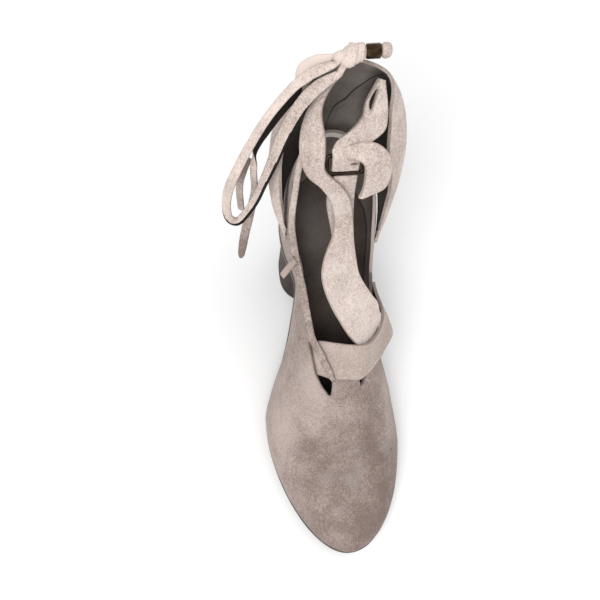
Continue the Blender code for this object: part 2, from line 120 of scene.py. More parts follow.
# %% A wrapper for node outputs
class Value:
    """One output of a node. Arithmetic on it adds Math nodes to its finish."""

    def __init__(self, finish, output):
        self.finish = finish
        self.output = output

    def math(self, operation, *values):
        return self.finish.add("ShaderNodeMath", {"operation": operation}, dict(enumerate(values)))

    def __add__(self, other):
        return self.math("ADD", self, other)

    def __sub__(self, other):
        return self.math("SUBTRACT", self, other)

    def __rsub__(self, other):
        return self.math("SUBTRACT", other, self)

    def __mul__(self, other):
        return self.math("MULTIPLY", self, other)

    def __abs__(self):
        return self.math("ABSOLUTE", self)

    __radd__ = __add__
    __rmul__ = __mul__

    def step(self, low, high):
        """0 below low, 1 above high, and a smooth rise between them."""
        return self.finish.add("ShaderNodeMapRange", {"interpolation_type": "SMOOTHSTEP"},
                               {0: self, 1: low, 2: high})


print("value wrapper ready")


# %% A finish under construction
class Finish:
    """A material under construction. Values that are the same all over go straight on the shader."""

    def __init__(self, name, fixed):
        self.material = bpy.data.materials.new(name)
        self.material.use_nodes = True
        self.tree = self.material.node_tree
        self.shader = self.tree.nodes["Principled BSDF"]
        for socket, value in fixed.items():
            self.feed(self.shader.inputs[socket], value)

    def add(self, kind, settings=None, inputs=None, output=0):
        """Adds a node of any kind: its settings first, then its sockets' values or links."""
        node = self.tree.nodes.new(kind)
        for name, value in (settings or {}).items():
            setattr(node, name, value)
        for key, value in (inputs or {}).items():
            self.feed(node.inputs[key], value)
        return Value(self, node.outputs[output])

    def feed(self, socket, value):
        if isinstance(value, Value):
            self.tree.links.new(value.output, socket)
        else:
            socket.default_value = (*value, 1.0) if socket.type == "RGBA" else value

    def show(self, socket, value):
        self.feed(self.shader.inputs[socket], value)

    def mix(self, share, one, other):
        """A colour between two colours."""
        return self.add("ShaderNodeMix", {"data_type": "RGBA"}, {0: share, 6: one, 7: other}, 2)

    def place(self, stretch=(1.0, 1.0, 1.0)):
        """The point on the surface in the shoe's own frame, in metres, stretched along its axes."""
        spot = self.add("ShaderNodeTexCoord", output="Object")
        return self.add("ShaderNodeMapping", None, {"Vector": spot, "Scale": stretch})

    def axis(self, letter):
        return self.add("ShaderNodeSeparateXYZ", None, {0: self.place()}, letter)

    def noise(self, scale, detail=3.0, stretch=(1.0, 1.0, 1.0)):
        """Cloudy values between 0 and 1; scale is the number of clouds in a metre."""
        return self.add("ShaderNodeTexNoise", None,
                        {"Vector": self.place(stretch), "Scale": scale, "Detail": detail})

    def attribute(self, name):
        return self.add("ShaderNodeAttribute", {"attribute_name": name}, output="Fac")

    def relief(self, height, depth):
        """Small hills and dents that only the light sees; depth is in millimetres."""
        bump = self.add("ShaderNodeBump", None, {"Distance": depth * MM, "Height": height})
        self.show("Normal", bump)


print("finish class ready")


# %% Colours
def srgb(*channels):
    """A colour as a screen gives it, red, green and blue from 0 to 255, turned into light."""
    shares = [channel / 255 for channel in channels]
    return tuple(c / 12.92 if c < 0.0405 else ((c + 0.055) / 1.055) ** 2.4 for c in shares)


def darker(colour, share):
    return tuple(share * value for value in colour)


print("mid grey in light:", [round(value, 3) for value in srgb(128, 128, 128)])

# %% [markdown]
# Suede
#
# Suede is leather with its fibres raised into a short nap. Where the nap lies one way it is pale, where it
# lies the other it is deeper, in patches, tufts and single fibres. Noises of different size do that, and a
# fine relief breaks up the light. A soft sheen stands for the fibres' ends. Meshes carry two values: edge is
# the distance to the nearest cut edge, where the suede is darker, partly rubbed and partly painted shade, and
# the nap value says how far it is brushed pale, which lets a patch show on the toe; in places it also carries
# painted light and shade. Blender's hair could raise a real nap, but fibres this short would take millions of
# strands.

# %% Suede
COMBED = (0.75, 1.0, 0.75)    # the nap is combed along the shoe, so its tufts are longer than wide
PATCH_SCALE, TUFT_SCALE, FIBRE_SCALE, CLOUD_SCALE = 75, 480, 1150, 62    # how many there are in a metre
PATCH_SHARE, TUFT_SHARE, FIBRE_SHARE, NAP_LOW = 0.36, 0.25, 0.65, 0.13   # how far each moves the tone
LIE_RANGE, CLOUD_RANGE, CLOUD_SHARE = (0.22, 0.78), (0.48, 0.78), 0.5    # where a tone begins and is full
RUBBED_SHADED_WIDE, RUBBED_SHADED, RUBBED_SHADED_TONE = 0.9, 0.4, 0.35                        # the darker cut edge: partly rubbed, partly painted shade
NAP_ROUGH, FIBRE_ROUGH = 0.84, 0.14                                      # roughness, and what fibres add
NAP_DEPTH, TUFT_RELIEF, FIBRE_RELIEF = 0.30, 0.6, 0.4                    # relief in mm, and the parts in it


def suede(name, pale, deep, cool, edged=True, brushed_and_lit=False):
    """Suede between a pale and a deep tone, with a hint of a cooler tone in clouds."""
    make = Finish(name, {"Specular IOR Level": 0.15, "Sheen Weight": 0.10, "Sheen Roughness": 0.5})
    patch = make.noise(PATCH_SCALE, 4)
    tuft = make.noise(TUFT_SCALE, 3, COMBED)
    fibre = make.noise(FIBRE_SCALE, 3)
    lie = patch * PATCH_SHARE + tuft * TUFT_SHARE + fibre * FIBRE_SHARE - NAP_LOW
    if brushed_and_lit:
        lie = lie + make.attribute("nap")
    colour = make.mix(lie.step(*LIE_RANGE), deep, pale)
    cloud = make.noise(CLOUD_SCALE, 3).step(*CLOUD_RANGE)
    colour = make.mix(cloud * CLOUD_SHARE, colour, cool)
    if edged:
        # Near a cut edge the suede is darker, partly rubbed and partly painted shade.
        rubbed_and_shaded = 1 - make.attribute("edge").step(0.0, RUBBED_SHADED_WIDE)
        colour = make.mix(rubbed_and_shaded * RUBBED_SHADED, colour, darker(deep, RUBBED_SHADED_TONE))
    make.show("Base Color", colour)
    make.show("Roughness", NAP_ROUGH + fibre * FIBRE_ROUGH)
    make.relief(tuft * TUFT_RELIEF + fibre * FIBRE_RELIEF, NAP_DEPTH)
    return make.material


STRAP_TONES = srgb(223, 209, 201), srgb(155, 137, 128), srgb(198, 190, 187)
strap_suede = suede("strap_suede", *STRAP_TONES, brushed_and_lit=True)
rolled_suede = suede("rolled_suede", *STRAP_TONES, edged=False)
cross_suede = suede("cross_suede", srgb(196, 180, 171), srgb(146, 130, 121), srgb(178, 168, 163))
lace_suede = suede("lace_suede", srgb(218, 202, 193), srgb(126, 111, 103), srgb(186, 176, 171), brushed_and_lit=True)
VAMP_TONES = srgb(178, 163, 156), srgb(118, 102, 95), srgb(158, 149, 145)
vamp_suede = suede("vamp_suede", *VAMP_TONES, brushed_and_lit=True)
print("suede finishes:", strap_suede.name, cross_suede.name, lace_suede.name, vamp_suede.name)

# %% [markdown]
# Leather, rubber, thread and bronze
#
# The straps are backed with dark leather, the sole's edge is dressed dark, and the heel block is covered in a
# dark semi-gloss finish with upright streaks. The metal is an antique bronze: brown, worn brighter here and
# there. Painted textures would serve as well, but noises need no unwrapping and show no seams, so each finish
# is two noises on one shader, and one function makes them all.

# %% Smooth finishes
BLOTCH = (0.3, 0.7)    # where a mix of coarse and fine noise leaves one tone and reaches the other
CLOUDS = 60            # how many coarse clouds there are in a metre
SWING = 0.12           # how far the grain moves the roughness to each side


def leather(name, pale, deep, rough, grain=900, stretch=(1.0, 1.0, 1.0), depth=0.12, metal=0.0,
            shine=0.5):
    """A smooth finish between two tones with a fine grain."""
    make = Finish(name, {"Metallic": metal, "Specular IOR Level": shine})
    cloud = make.noise(CLOUDS, 4, stretch)
    fine = make.noise(grain, 3, stretch)
    share = (cloud * 0.6 + fine * 0.4).step(*BLOTCH)
    make.show("Base Color", make.mix(share, deep, pale))
    make.show("Roughness", rough - SWING + fine * (2 * SWING))
    make.relief(fine, depth)
    return make.material


UPRIGHT = (1.0, 1.0, 0.07)    # draws a grain out into upright streaks
METAL = {"grain": 500, "depth": 0.03, "metal": 1.0}
strap_lining = leather("strap_lining", srgb(36, 30, 27), srgb(22, 18, 16), 0.7, shine=0.15)
insole_leather = leather("insole_leather", srgb(92, 81, 75), srgb(66, 57, 53), 0.5, shine=0.3)
sole_leather = leather("sole_leather", srgb(92, 82, 76), srgb(62, 54, 50), 0.45)
heel_finish = leather("heel_finish", srgb(70, 58, 52), srgb(36, 29, 26), 0.5, grain=260, stretch=UPRIGHT,
                      depth=0.2, shine=0.08)
rubber = leather("top_piece_rubber", srgb(40, 38, 37), srgb(28, 27, 26), 0.7)
bronze = leather("dark_bronze", srgb(92, 74, 54), srgb(46, 35, 25), 0.34, **METAL)
buckle_bronze = leather("buckle_bronze", srgb(76, 64, 52), srgb(38, 31, 26), 0.36, **METAL)
thread = leather("thread", srgb(214, 200, 190), srgb(184, 168, 158), 0.7, grain=2000)
print("smooth finishes ready")

# %% [markdown]
# The counter and the cuff share a grey lining. Some details of it show inside the ankle: the suede is turned
# in over the counter's edge, a pale strip whose paleness is partly painted light, and the cuff's lining is
# pieced along a curved seam whose dark line is partly painted shadow, with painted shade at the sides. They
# could be pieces of their own, but they lie flat in the leather, so the material draws them, from the
# distance to the edge and from a curve across the cuff.

# %% Pieced lining
FACING, FACING_SOFT = 6.0, 0.3          # width of the suede turned in over the counter's edge, soft limit
# The facing is paler than the suede turned in: partly its own pale tone, partly painted light.
FACING_PALE_LIT_TONE = srgb(246, 238, 232)
SEAM_LEVEL, SEAM_CLIMB = 0.145, 1.1     # the seam's height at the middle, in metres, and its climb
SEAM_RISE, SEAM_DROP = 28.0, 700.0      # how it curves up to the inner side and drops on the outer one
SEAM_WIDE, SHADED_SIDES = (0.0004, 0.0013), (0.010, 0.019)    # where the groove and the painted shade at the sides begin and end
SEAM_SHADOW_DARK, SEAM_SHADOW_TONE, SEAM_DEEP = 0.85, 0.15, 2.0     # how dark the groove's line is, partly painted shadow, and how deep in the relief
SIDE_SHADE_DARK, SIDE_SHADE_TONE = 0.8, 0.12                      # how dark the painted shade at the sides is
GREYS = srgb(140, 131, 124), srgb(102, 94, 89)


def pieced_lining(name, pale, deep, faced_and_lit=False, seamed_and_shaded=False):
    """Grey lining leather, with a suede facing along its edge that is partly painted light, or with a curved
    seam whose dark line is partly painted shadow and with painted shade at the sides.
    """
    make = Finish(name, {"Roughness": 0.7, "Specular IOR Level": 0.2})
    cloud = make.noise(45, 4)
    fine = make.noise(1100, 3)
    colour = make.mix((cloud * 0.7 + fine * 0.3).step(*BLOTCH), deep, pale)
    height = fine
    if seamed_and_shaded:
        side = make.axis("Y")
        outer = (abs(side) - side) * 0.5
        seam = side * SEAM_CLIMB + side * side * SEAM_RISE - outer * outer * SEAM_DROP + SEAM_LEVEL
        groove = 1 - abs(make.axis("Z") - seam).step(*SEAM_WIDE)
        # The seam's dark line is partly a real joint and partly painted shadow along it.
        colour = make.mix(groove * SEAM_SHADOW_DARK, colour, darker(deep, SEAM_SHADOW_TONE))
        height = fine - groove * SEAM_DEEP
        # The sides of the cuff's lining are darkened with painted shade.
        colour = make.mix(abs(side).step(*SHADED_SIDES) * SIDE_SHADE_DARK, colour, darker(deep, SIDE_SHADE_TONE))
    if faced_and_lit:
        # The turned-in facing is painted near white, partly as painted light.
        turned_in = 1 - make.attribute("edge").step(FACING - FACING_SOFT, FACING)
        colour = make.mix(turned_in, colour, FACING_PALE_LIT_TONE)
    make.show("Base Color", colour)
    make.relief(height, 0.12)
    return make.material


lining = pieced_lining("lining", *GREYS, faced_and_lit=True)
cuff_lining = pieced_lining("cuff_lining", *GREYS, seamed_and_shaded=True)
print("linings:", lining.name, cuff_lining.name)

# %% [markdown]
# Meshes
#
# Every piece is made in code from points in millimetres. One helper turns points and faces into an object
# that rides on the shoe's body, stands for its solid and knows its finish. Bending Blender's primitives into
# shape would take as many steps, and points from a table stay easy to change.


# %% Pieces
def inside(point):
    """A point of the tables in the shoe's frame, in metres."""
    return (Vector(point) - CENTRE) * MM


def piece(name, work, finishes, node=None):
    """An object from a bmesh in table millimetres. It stands for a node if one is given."""
    mesh = bpy.data.meshes.new(name)
    for corner in work.verts:
        corner.co = inside(corner.co)
    work.to_mesh(mesh)
    work.free()
    mesh.shade_smooth()
    for finish in finishes:
        mesh.materials.append(finish)
    made = add_object(name, mesh)
    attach(made, "root")
    if node:
        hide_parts(node)
    return made


def face_counts(*pieces):
    return [len(made.data.polygons) for made in pieces]


print("the origin of the tables lies at", [round(value, 4) for value in inside((0, 0, 0))])

# %% Skins
SHARP = math.radians(50)      # an edge that turns more is rounded over or, on a plate, kept sharp


def blank():
    """An empty mesh whose points have room for their paleness, brushed and lit, and their distance to the
    nearest edge.
    """
    work = bmesh.new()
    for name in ("nap", "edge"):
        work.verts.layers.float.new(name)
    return work


def nap_and_edge(work):
    return work.verts.layers.float["nap"], work.verts.layers.float["edge"]


def skin(rows, edges, flip=False):
    """A single skin over rows of points, each with its distance to the nearest edge."""
    work = blank()
    _, layer = nap_and_edge(work)
    corners = []
    for row, distances in zip(rows, edges):
        line = [work.verts.new(point) for point in row]
        for corner, distance in zip(line, distances):
            corner[layer] = distance
        corners.append(line)
    for one, other in zip(corners, corners[1:]):
        for j in range(len(one) - 1):
            quad = (one[j], other[j], other[j + 1], one[j + 1])
            work.faces.new(reversed(quad) if flip else quad)
    return work


def thicken(made, wall, offset, rounding):
    """Gives a skin its thickness, the lining's finish inside, and rounded cut edges."""
    solid = made.modifiers.new("wall", "SOLIDIFY")
    solid.thickness = wall * MM
    solid.offset = offset
    solid.material_offset = 1
    bevel = made.modifiers.new("rounding", "BEVEL")
    bevel.width = rounding * MM
    bevel.segments = 3
    bevel.limit_method = "ANGLE"
    bevel.angle_limit = SHARP


print("skin helpers ready")

# %% [markdown]
# The last
#
# A shoe is built on a last, a solid foot form. The solids describe it by a short table of sections, and the
# same table is used here with more steps, so the upper's skin is smooth where the solid has facets.

# %% The last as a table
BACK, TOE = -112.0, 116.8                   # the last's ends
WALL, STRAP, GAP = 1.8, 1.8, 0.3            # thickness of the upper and of a strap, clearance of two pieces
SOLE, INSOLE, TOP_PIECE = 4.0, 2.0, 6.0     # thickness of the sole, the sock on it and the rubber
SOLE_LIP, SEAT_GAP = 1.2, 0.45              # how far the sole stands out, clearance over the heel
RIDGE_INSET = 1.4                           # how far the ridge sinks for each millimetre of inset
Section = namedtuple("Section", "x feather lateral medial axis ridge full")
LAST = [
    Section(-112, 86.0, 30.0, 29.5, 0.0, 158, 2.4),
    Section(-90, 78.5, 30.0, 29.5, 0.0, 146, 2.4),
    Section(-70, 67.0, 27.0, 28.5, 0.0, 126, 2.35),
    Section(-50, 52.0, 20.5, 26.5, 1.0, 105, 2.6),
    Section(-30, 34.5, 24.9, 27.5, 2.0, 89, 1.85),
    Section(-10, 18.0, 31.8, 32.5, 3.0, 77.5, 1.8),
    Section(10, 7.5, 40.8, 37.0, 3.5, 66, 1.95),
    Section(30, SOLE, 45.4, 40.5, 3.0, 54, 2.1),
    Section(50, SOLE, 45.5, 41.8, 3.0, 43.5, 2.2),
    Section(75, SOLE, 45.5, 41.8, 3.5, 33.5, 2.3),
    Section(95, 5.2, 45.5, 41.8, 4.5, 27.0, 2.3),
    Section(110, 7.6, 45.5, 41.8, 5.5, 21.5, 2.2),
    Section(118, 9.5, 45.5, 41.8, 6.0, 16.5, 2.0),
]
EndCap = namedtuple("EndCap", "start end blunt")
TOE_LATERAL = EndCap(40.0, TOE, 1.38)
TOE_MEDIAL = EndCap(46.0, TOE, 1.85)
HEEL_END = EndCap(-72.0, BACK, 2.1)
TUCK, TUCK_HEIGHT = 0.05, 10.0
COUNTER_REACH, COUNTER_BULGE, COUNTER_LEAN = 45.0, 0.20, 0.0035
print("last:", len(LAST), "sections")


# %% Curves through a table
def clamped(value):
    return min(max(value, 0.0), 1.0)


def smooth_value(rows, column, x):
    """A table's column at x, on a smooth curve that never overshoots its rows."""
    xs = [row.x for row in rows]
    ys = [getattr(row, column) for row in rows]
    x = min(max(x, xs[0]), xs[-1])
    spot = max(i for i in range(len(xs) - 1) if xs[i] <= x)
    steps = [(ys[i + 1] - ys[i]) / (xs[i + 1] - xs[i]) for i in range(len(xs) - 1)]

    def slope(i):
        if i == 0:
            return steps[0]
        if i == len(steps):
            return steps[-1]
        before, after = steps[i - 1], steps[i]
        return 2 * before * after / (before + after) if before * after > 0 else 0.0

    span = xs[spot + 1] - xs[spot]
    t = (x - xs[spot]) / span
    return (ys[spot] * (1 + 2 * t) * (1 - t) ** 2 + slope(spot) * span * t * (1 - t) ** 2
            + ys[spot + 1] * t * t * (3 - 2 * t) + slope(spot + 1) * span * t * t * (t - 1))


def section_at(x):
    return Section(x, *(smooth_value(LAST, column, x) for column in Section._fields[1:]))


BALL = 40.0    # where the foot is widest
print("ridge over the ball:", round(section_at(BALL).ridge, 1), "mm")


# %% Points on the last
def end_share(x, cap):
    """Share of the half-width that is left where an end of the outline rounds off."""
    t = (x - cap.start) / (cap.end - cap.start)
    return math.sqrt(max(0.0, 1 - max(0.0, t) ** cap.blunt))


def last_point(row, turn, inset=0.0, lift=0.0):
    """The last's surface: turn is 0 at the outer feather edge, 1 at the ridge and 2 at the inner edge."""
    lateral = turn < 1
    half = (row.lateral if lateral else row.medial) - inset
    half *= end_share(row.x, TOE_LATERAL if lateral else TOE_MEDIAL) * end_share(row.x, HEEL_END)
    angle = min(turn, 2 - turn) * math.pi / 2
    tall = row.ridge - row.feather - lift - RIDGE_INSET * inset
    rise = tall * max(0.0, math.sin(angle)) ** (2 / row.full)
    half *= max(0.0, math.cos(angle)) ** (2 / row.full)
    half *= 1 - TUCK * max(0.0, 1 - rise / TUCK_HEIGHT) ** 2
    back = clamped((BACK + COUNTER_REACH - row.x) / COUNTER_REACH)
    lean = back * rise * (COUNTER_LEAN * rise - COUNTER_BULGE)
    middle = (TOE + BACK) / 2
    shrink = 1 - 2 * inset / (TOE - BACK)
    y = row.axis + (-half if lateral else half)
    return Vector((middle + (row.x - middle) * shrink + lean, y, row.feather + lift + rise))


def stations(count):
    """Places along the last, closer together at its round ends."""
    return [(TOE + BACK) / 2 - (TOE - BACK) / 2 * math.cos(math.pi * i / count) for i in range(count + 1)]


sole_sides = [last_point(section_at(BALL), turn).y for turn in (0.0, 2.0)]
print("feather edge at the ball:", round(sole_sides[1] - sole_sides[0], 1), "mm wide")

# %% [markdown]
# The upper
#
# Toe, sides and counter are one suede wall, cut open at the collar and, in front of it, in a W with a tab in
# its middle. The skin is made whole over the last. Then each point gets its distance to the opening, and the
# skin is trimmed where that distance is zero, so the edge is clean wherever it runs over the grid. A Boolean
# could cut the opening too, but the suede would then not know how far it is from its cut edge.

# %% Opening of the upper
Edge = namedtuple("Edge", "x lateral medial")
TOPLINE = [
    Edge(-130, 134, 134),
    Edge(-112, 131, 131),
    Edge(-93, 121.7, 121.5),
    Edge(-72, 103, 101),
    Edge(-55, 85.3, 82),
    Edge(-40, 74, 66),
    Edge(-25, 68.5, 53),
    Edge(-10, 65.8, 47.5),
]
THROAT = [(8, -12), (16, -8.5), (23, -3.5), (17, -2.5), (4, -2.5), (4, 13.5), (12, 14), (17.5, 15.5),
          (11, 19), (2, 25.5), (-10, 30.8), (-40, 24), (-40, -10), (-10, -14.7)]
THROAT_FLOOR = 30.0    # the throat is cut above this height alone
FAR_OUT = -99.0        # below that floor a point counts as this far outside the throat
CUT_MIDDLE = 8.0       # the topline changes sides within this distance of the middle
FRONT_RISE = 3.0       # how steeply the collar's cut runs out in front of the topline's table
SOFT = 0.06            # share of a side that each rounding of a corner takes


def rounded(outline, rounds=2):
    """A closed outline with its corners cut off a few times, which leaves them soft."""
    spots = np.array(outline, float)
    for _ in range(rounds):
        following = np.roll(spots, -1, axis=0)
        one, other = SOFT * following + (1 - SOFT) * spots, SOFT * spots + (1 - SOFT) * following
        spots = np.stack([one, other], 1).reshape(-1, 2)
    return spots


print("opening:", len(rounded(THROAT)), "points round the throat")


# %% Distance to the opening
def depth_in(outline, spots):
    """How far points lie inside a closed outline; below zero outside it."""
    nearest = np.full(len(spots), np.inf)
    within = np.zeros(len(spots), bool)
    for start, end in zip(outline, np.roll(outline, -1, axis=0)):
        run = end - start
        t = np.clip((spots - start) @ run / (run @ run), 0, 1)
        nearest = np.minimum(nearest, np.linalg.norm(spots - start - t[:, None] * run, axis=1))
        crosses = (start[1] > spots[:, 1]) != (end[1] > spots[:, 1])
        level = start[0] + (spots[:, 1] - start[1]) * run[0] / (run[1] if run[1] else 1.0)
        within ^= crosses & (spots[:, 0] < level)
    return np.where(within, nearest, -nearest)


def opening_distance(points):
    """Each point's distance to the collar and throat: above zero on the leather, below zero in the hole."""
    spots = np.array(points)
    front = TOPLINE[-1].x
    above = []
    for x, y, z in points:
        side = clamped((y + CUT_MIDDLE) / (2 * CUT_MIDDLE))
        low, high = (smooth_value(TOPLINE, name, x) for name in ("lateral", "medial"))
        above.append(z - low - (high - low) * side - FRONT_RISE * max(0.0, x - front))
    throat = np.where(spots[:, 2] > THROAT_FLOOR, depth_in(rounded(THROAT), spots[:, :2]), FAR_OUT)
    return -np.maximum(np.array(above), throat)


TAB = (8.0, 5.0, 60.0)    # a place on the tab in the throat's middle
print("the tab's middle lies", round(float(opening_distance([TAB])[0]), 1), "mm from its edge")

# %% Trimming
ON_CUT = 0.05             # a point this near to the cut lies on it


def trim(work):
    """Cuts a skin along the line where its edge distance is zero and drops what lies past it."""
    _, layer = nap_and_edge(work)
    for corner in work.verts:
        if abs(corner[layer]) < ON_CUT:
            corner[layer] = 0.0
    for edge in list(work.edges):
        one, other = edge.verts
        if one[layer] * other[layer] < 0:
            share = one[layer] / (one[layer] - other[layer])
            fresh = bmesh.utils.edge_split(edge, one, share)[1]
            fresh[layer] = 0.0
    bmesh.ops.connect_verts(work, verts=[corner for corner in work.verts if corner[layer] == 0.0])
    outside = [face for face in work.faces if min(corner[layer] for corner in face.verts) < 0]
    bmesh.ops.delete(work, geom=outside, context="FACES")
    loose = [corner for corner in work.verts if not corner.link_faces]
    bmesh.ops.delete(work, geom=loose, context="VERTS")


print("trim helper ready")

# %% [markdown]
# Worn suede has soft troughs where the vamp bends, and pale patches where it is brushed. Sculpting would make
# both, but a short table can be read and changed: a crease is a line with a width and a depth, and a patch is
# an oval in which the nap leans.

# %% Creases and brushed patches
Crease = namedtuple("Crease", "x0 y0 x1 y1 width depth")
VAMP_CREASES = [
    Crease(40, -38, 46, -6, 3.2, 0.45),
    Crease(52, 8, 44, 40, 3.0, 0.50),
    Crease(24, -4, 38, -9, 2.2, 0.50),
    Crease(19, 16, 33, 30, 2.4, 0.65),
    Crease(8, 32, 24, 38, 3.0, 0.65),
    Crease(28, 22, 40, 38, 2.6, 0.50),
    Crease(62, -22, 58, 12, 4.5, 0.30),
    Crease(-6, -22, 12, -27, 3.0, 0.40),
    Crease(-96, -29, -84, -30, 4.0, 0.45),
]
Patch = namedtuple("Patch", "x y along across lift")
PATCHES = [
    Patch(14, -14, 16, 10, 0.20),
    Patch(42, -34, 30, 10, 0.16),
    Patch(49, -17, 5, 8, -0.12),
    Patch(35, -14, 8, 8, 0.08),
    Patch(32, 8, 6, 12, 0.10),
    Patch(42, 20, 16, 8, -0.10),
    Patch(18, 36, 12, 5, 0.16),
    Patch(38, 37, 14, 5, 0.14),
    Patch(76, 30, 16, 5, -0.10),
    Patch(68, 15, 6, 4, 0.10),
    Patch(88, -8, 10, 16, 0.06),
    Patch(98, 18, 8, 8, -0.08),
    Patch(54, 6, 26, 15, -0.05),
]
PALE_LIT_SIDE, DEEP_SHADED_SIDE, HALF_WIDE = 0.03, -0.05, 40.0    # nap at the outer and inner side, partly painted light and shade, and how far out
DULL_TOE, DULL_FROM, DULL_RUN = 0.11, 20.0, 70.0       # the toe is duller, from here on and over this run
RIM_BACK, RIM_WIDE, RIM_PALE_AND_LIT = -50.0, 3.0, 0.5          # behind this, the upper's edge is bound and pale, its paleness partly painted light
RIDGE_AWAY, RIDGE_SHARE = 1.8, 0.5                     # the ridges beside a trough, in its widths and depths
CREASE_REACH, CREASE_ENDS = 4.0, 0.15                  # how far it shows, in widths, and its faded ends


def crease_lift(creases, x, y):
    """Soft troughs with a low ridge on each side, in millimetres out of the surface."""
    lift = 0.0
    for crease in creases:
        start, end = Vector((crease.x0, crease.y0)), Vector((crease.x1, crease.y1))
        run = end - start
        t = clamped((Vector((x, y)) - start).dot(run) / run.length_squared)
        away = (Vector((x, y)) - start - run * t).length / crease.width
        if away < CREASE_REACH:
            fade = math.sin(math.pi * (CREASE_ENDS + (1 - 2 * CREASE_ENDS) * t))
            ridge = RIDGE_SHARE * math.exp(-(away - RIDGE_AWAY) ** 2)
            lift += crease.depth * fade * (ridge - math.exp(-away ** 2))
    return lift


def vamp_nap_and_light(x, y):
    """How far the suede is brushed pale at a place seen from above; its lean from side to side is partly
    painted light.
    """
    side = clamped((y + HALF_WIDE) / (2 * HALF_WIDE))
    toe = clamped((x - DULL_FROM) / DULL_RUN)
    # The outer side leans pale and the inner deep: partly the nap, partly painted light on the outer side and
    # painted shade on the inner.
    lean = PALE_LIT_SIDE + (DEEP_SHADED_SIDE - PALE_LIT_SIDE) * side - DULL_TOE * toe
    for patch in PATCHES:
        away = ((x - patch.x) / patch.along) ** 2 + ((y - patch.y) / patch.across) ** 2
        lean += patch.lift * math.exp(-away)
    return lean


print("creases and patches:", len(VAMP_CREASES), len(PATCHES))

# %% Upper's wall
LENGTH_STEPS, GIRTH_STEPS = 170, 108
SWELLS = [(0.35, 0.045), (0.12, 0.13)]    # a worn wall is never even: height in mm, hills in a millimetre


def make_upper():
    rows = []
    for x in stations(LENGTH_STEPS):
        section = section_at(x)
        rows.append([last_point(section, 2 * j / GIRTH_STEPS, 0.0, GAP) for j in range(GIRTH_STEPS + 1)])
    distance = opening_distance([point for row in rows for point in row])
    work = skin(rows, distance.reshape(len(rows), -1))
    trim(work)
    bmesh.ops.remove_doubles(work, verts=work.verts, dist=0.01)
    bmesh.ops.dissolve_degenerate(work, dist=0.005, edges=work.edges)
    work.normal_update()
    nap, edge = nap_and_edge(work)
    for corner in work.verts:
        x, y = corner.co.xy
        soft = sum(height * noise.noise(corner.co * hills) for height, hills in SWELLS)
        corner[nap] = vamp_nap_and_light(x, y)
        # Toward the back the top edge is painted paler, partly as painted light, and the darker cut edge is
        # kept off it.
        if x < RIM_BACK:
            corner[nap] += RIM_PALE_AND_LIT * max(0.0, 1 - corner[edge] / RIM_WIDE)
            corner[edge] = max(corner[edge], 1.0)
        corner.co += corner.normal * (crease_lift(VAMP_CREASES, x, y) + soft)
    made = piece("upper_suede", work, [vamp_suede, lining], "upper")
    thicken(made, WALL, offset=-1.0, rounding=0.45)
    return made


upper = make_upper()
print("upper:", face_counts(upper), "faces")

# %% [markdown]
# Sole, insole and heel
#
# The outsole follows the feather edge, where the upper turns under. The insole lies inside the wall. Both are
# plates between stacked outlines, and so is the heel, whose outline changes from the seat to the floor. More
# outlines than the solids have let the edges round over. A Bevel modifier on the solids would do that too,
# but it would follow their facets.


# %% Plates
def plate(name, rings, finish, node):
    """A closed plate between stacked outlines, each a list of (x, outer y, inner y, z) along the shoe."""
    work = bmesh.new()
    layers = []
    for ring in rings:
        layers.append([(work.verts.new((x, outer, z)), work.verts.new((x, inner, z)))
                       for x, outer, inner, z in ring])
    for layer in (layers[0], layers[-1]):
        for one, other in zip(layer, layer[1:]):
            work.faces.new((one[0], one[1], other[1], other[0]))
    for low, high in zip(layers, layers[1:]):
        for side in (0, 1):
            for i in range(len(low) - 1):
                work.faces.new((low[i][side], low[i + 1][side], high[i + 1][side], high[i][side]))
    bmesh.ops.remove_doubles(work, verts=work.verts, dist=0.001)
    bmesh.ops.dissolve_degenerate(work, dist=0.0005, edges=work.edges)
    bmesh.ops.recalc_face_normals(work, faces=work.faces)
    made = piece(name, work, [finish], node)
    made.data.set_sharp_from_angle(angle=SHARP)
    return made


def feather_ring(inset, drop, count=140):
    """The feather edge's outline, moved in by inset, at a height below the feather line."""
    ring = []
    for x in stations(count):
        section = section_at(x)
        lateral, medial = last_point(section, 0.0, inset), last_point(section, 2.0, inset)
        ring.append((lateral.x, lateral.y, medial.y, smooth_value(LAST, "feather", lateral.x) - drop))
    return ring


ROUND = [(0.8, 0.0), (0.3, 0.25), (0.06, 0.7), (0.0, 1.2)]    # how an edge rounds over: in and down, mm
outsole_rings = [feather_ring(-SOLE_LIP + inset, down) for inset, down in ROUND]
outsole_rings += [feather_ring(-SOLE_LIP + inset, SOLE - down) for inset, down in reversed(ROUND)]
outsole = plate("outsole_dressed", outsole_rings, sole_leather, "outsole")
INSOLE_ROUND = 0.6                                            # the thin insole rounds by this share of it
insole_rings = [feather_ring(WALL + GAP + INSOLE_ROUND * inset, -GAP - INSOLE + INSOLE_ROUND * down)
                for inset, down in ROUND]
insole_rings.append(feather_ring(WALL + GAP, -GAP))
insole = plate("insole_covered", insole_rings, insole_leather, "insole")
print("outsole and insole:", face_counts(outsole, insole), "faces")

# %% Heel block and top piece
HeelRing = namedtuple("HeelRing", "x y length width square")
HEEL_SEAT = HeelRing(-84.0, 0.0, 26.5, 27.5, 2.4)
HEEL_FOOT = HeelRing(-77.5, 0.5, 23.5, 25.5, 2.7)
HEEL_WAIST, HEEL_RINGS = 1.2, 24
RIM, RIM_SHARE = 0.5, 0.008    # how far the block's rims round in, and the share of its height for that


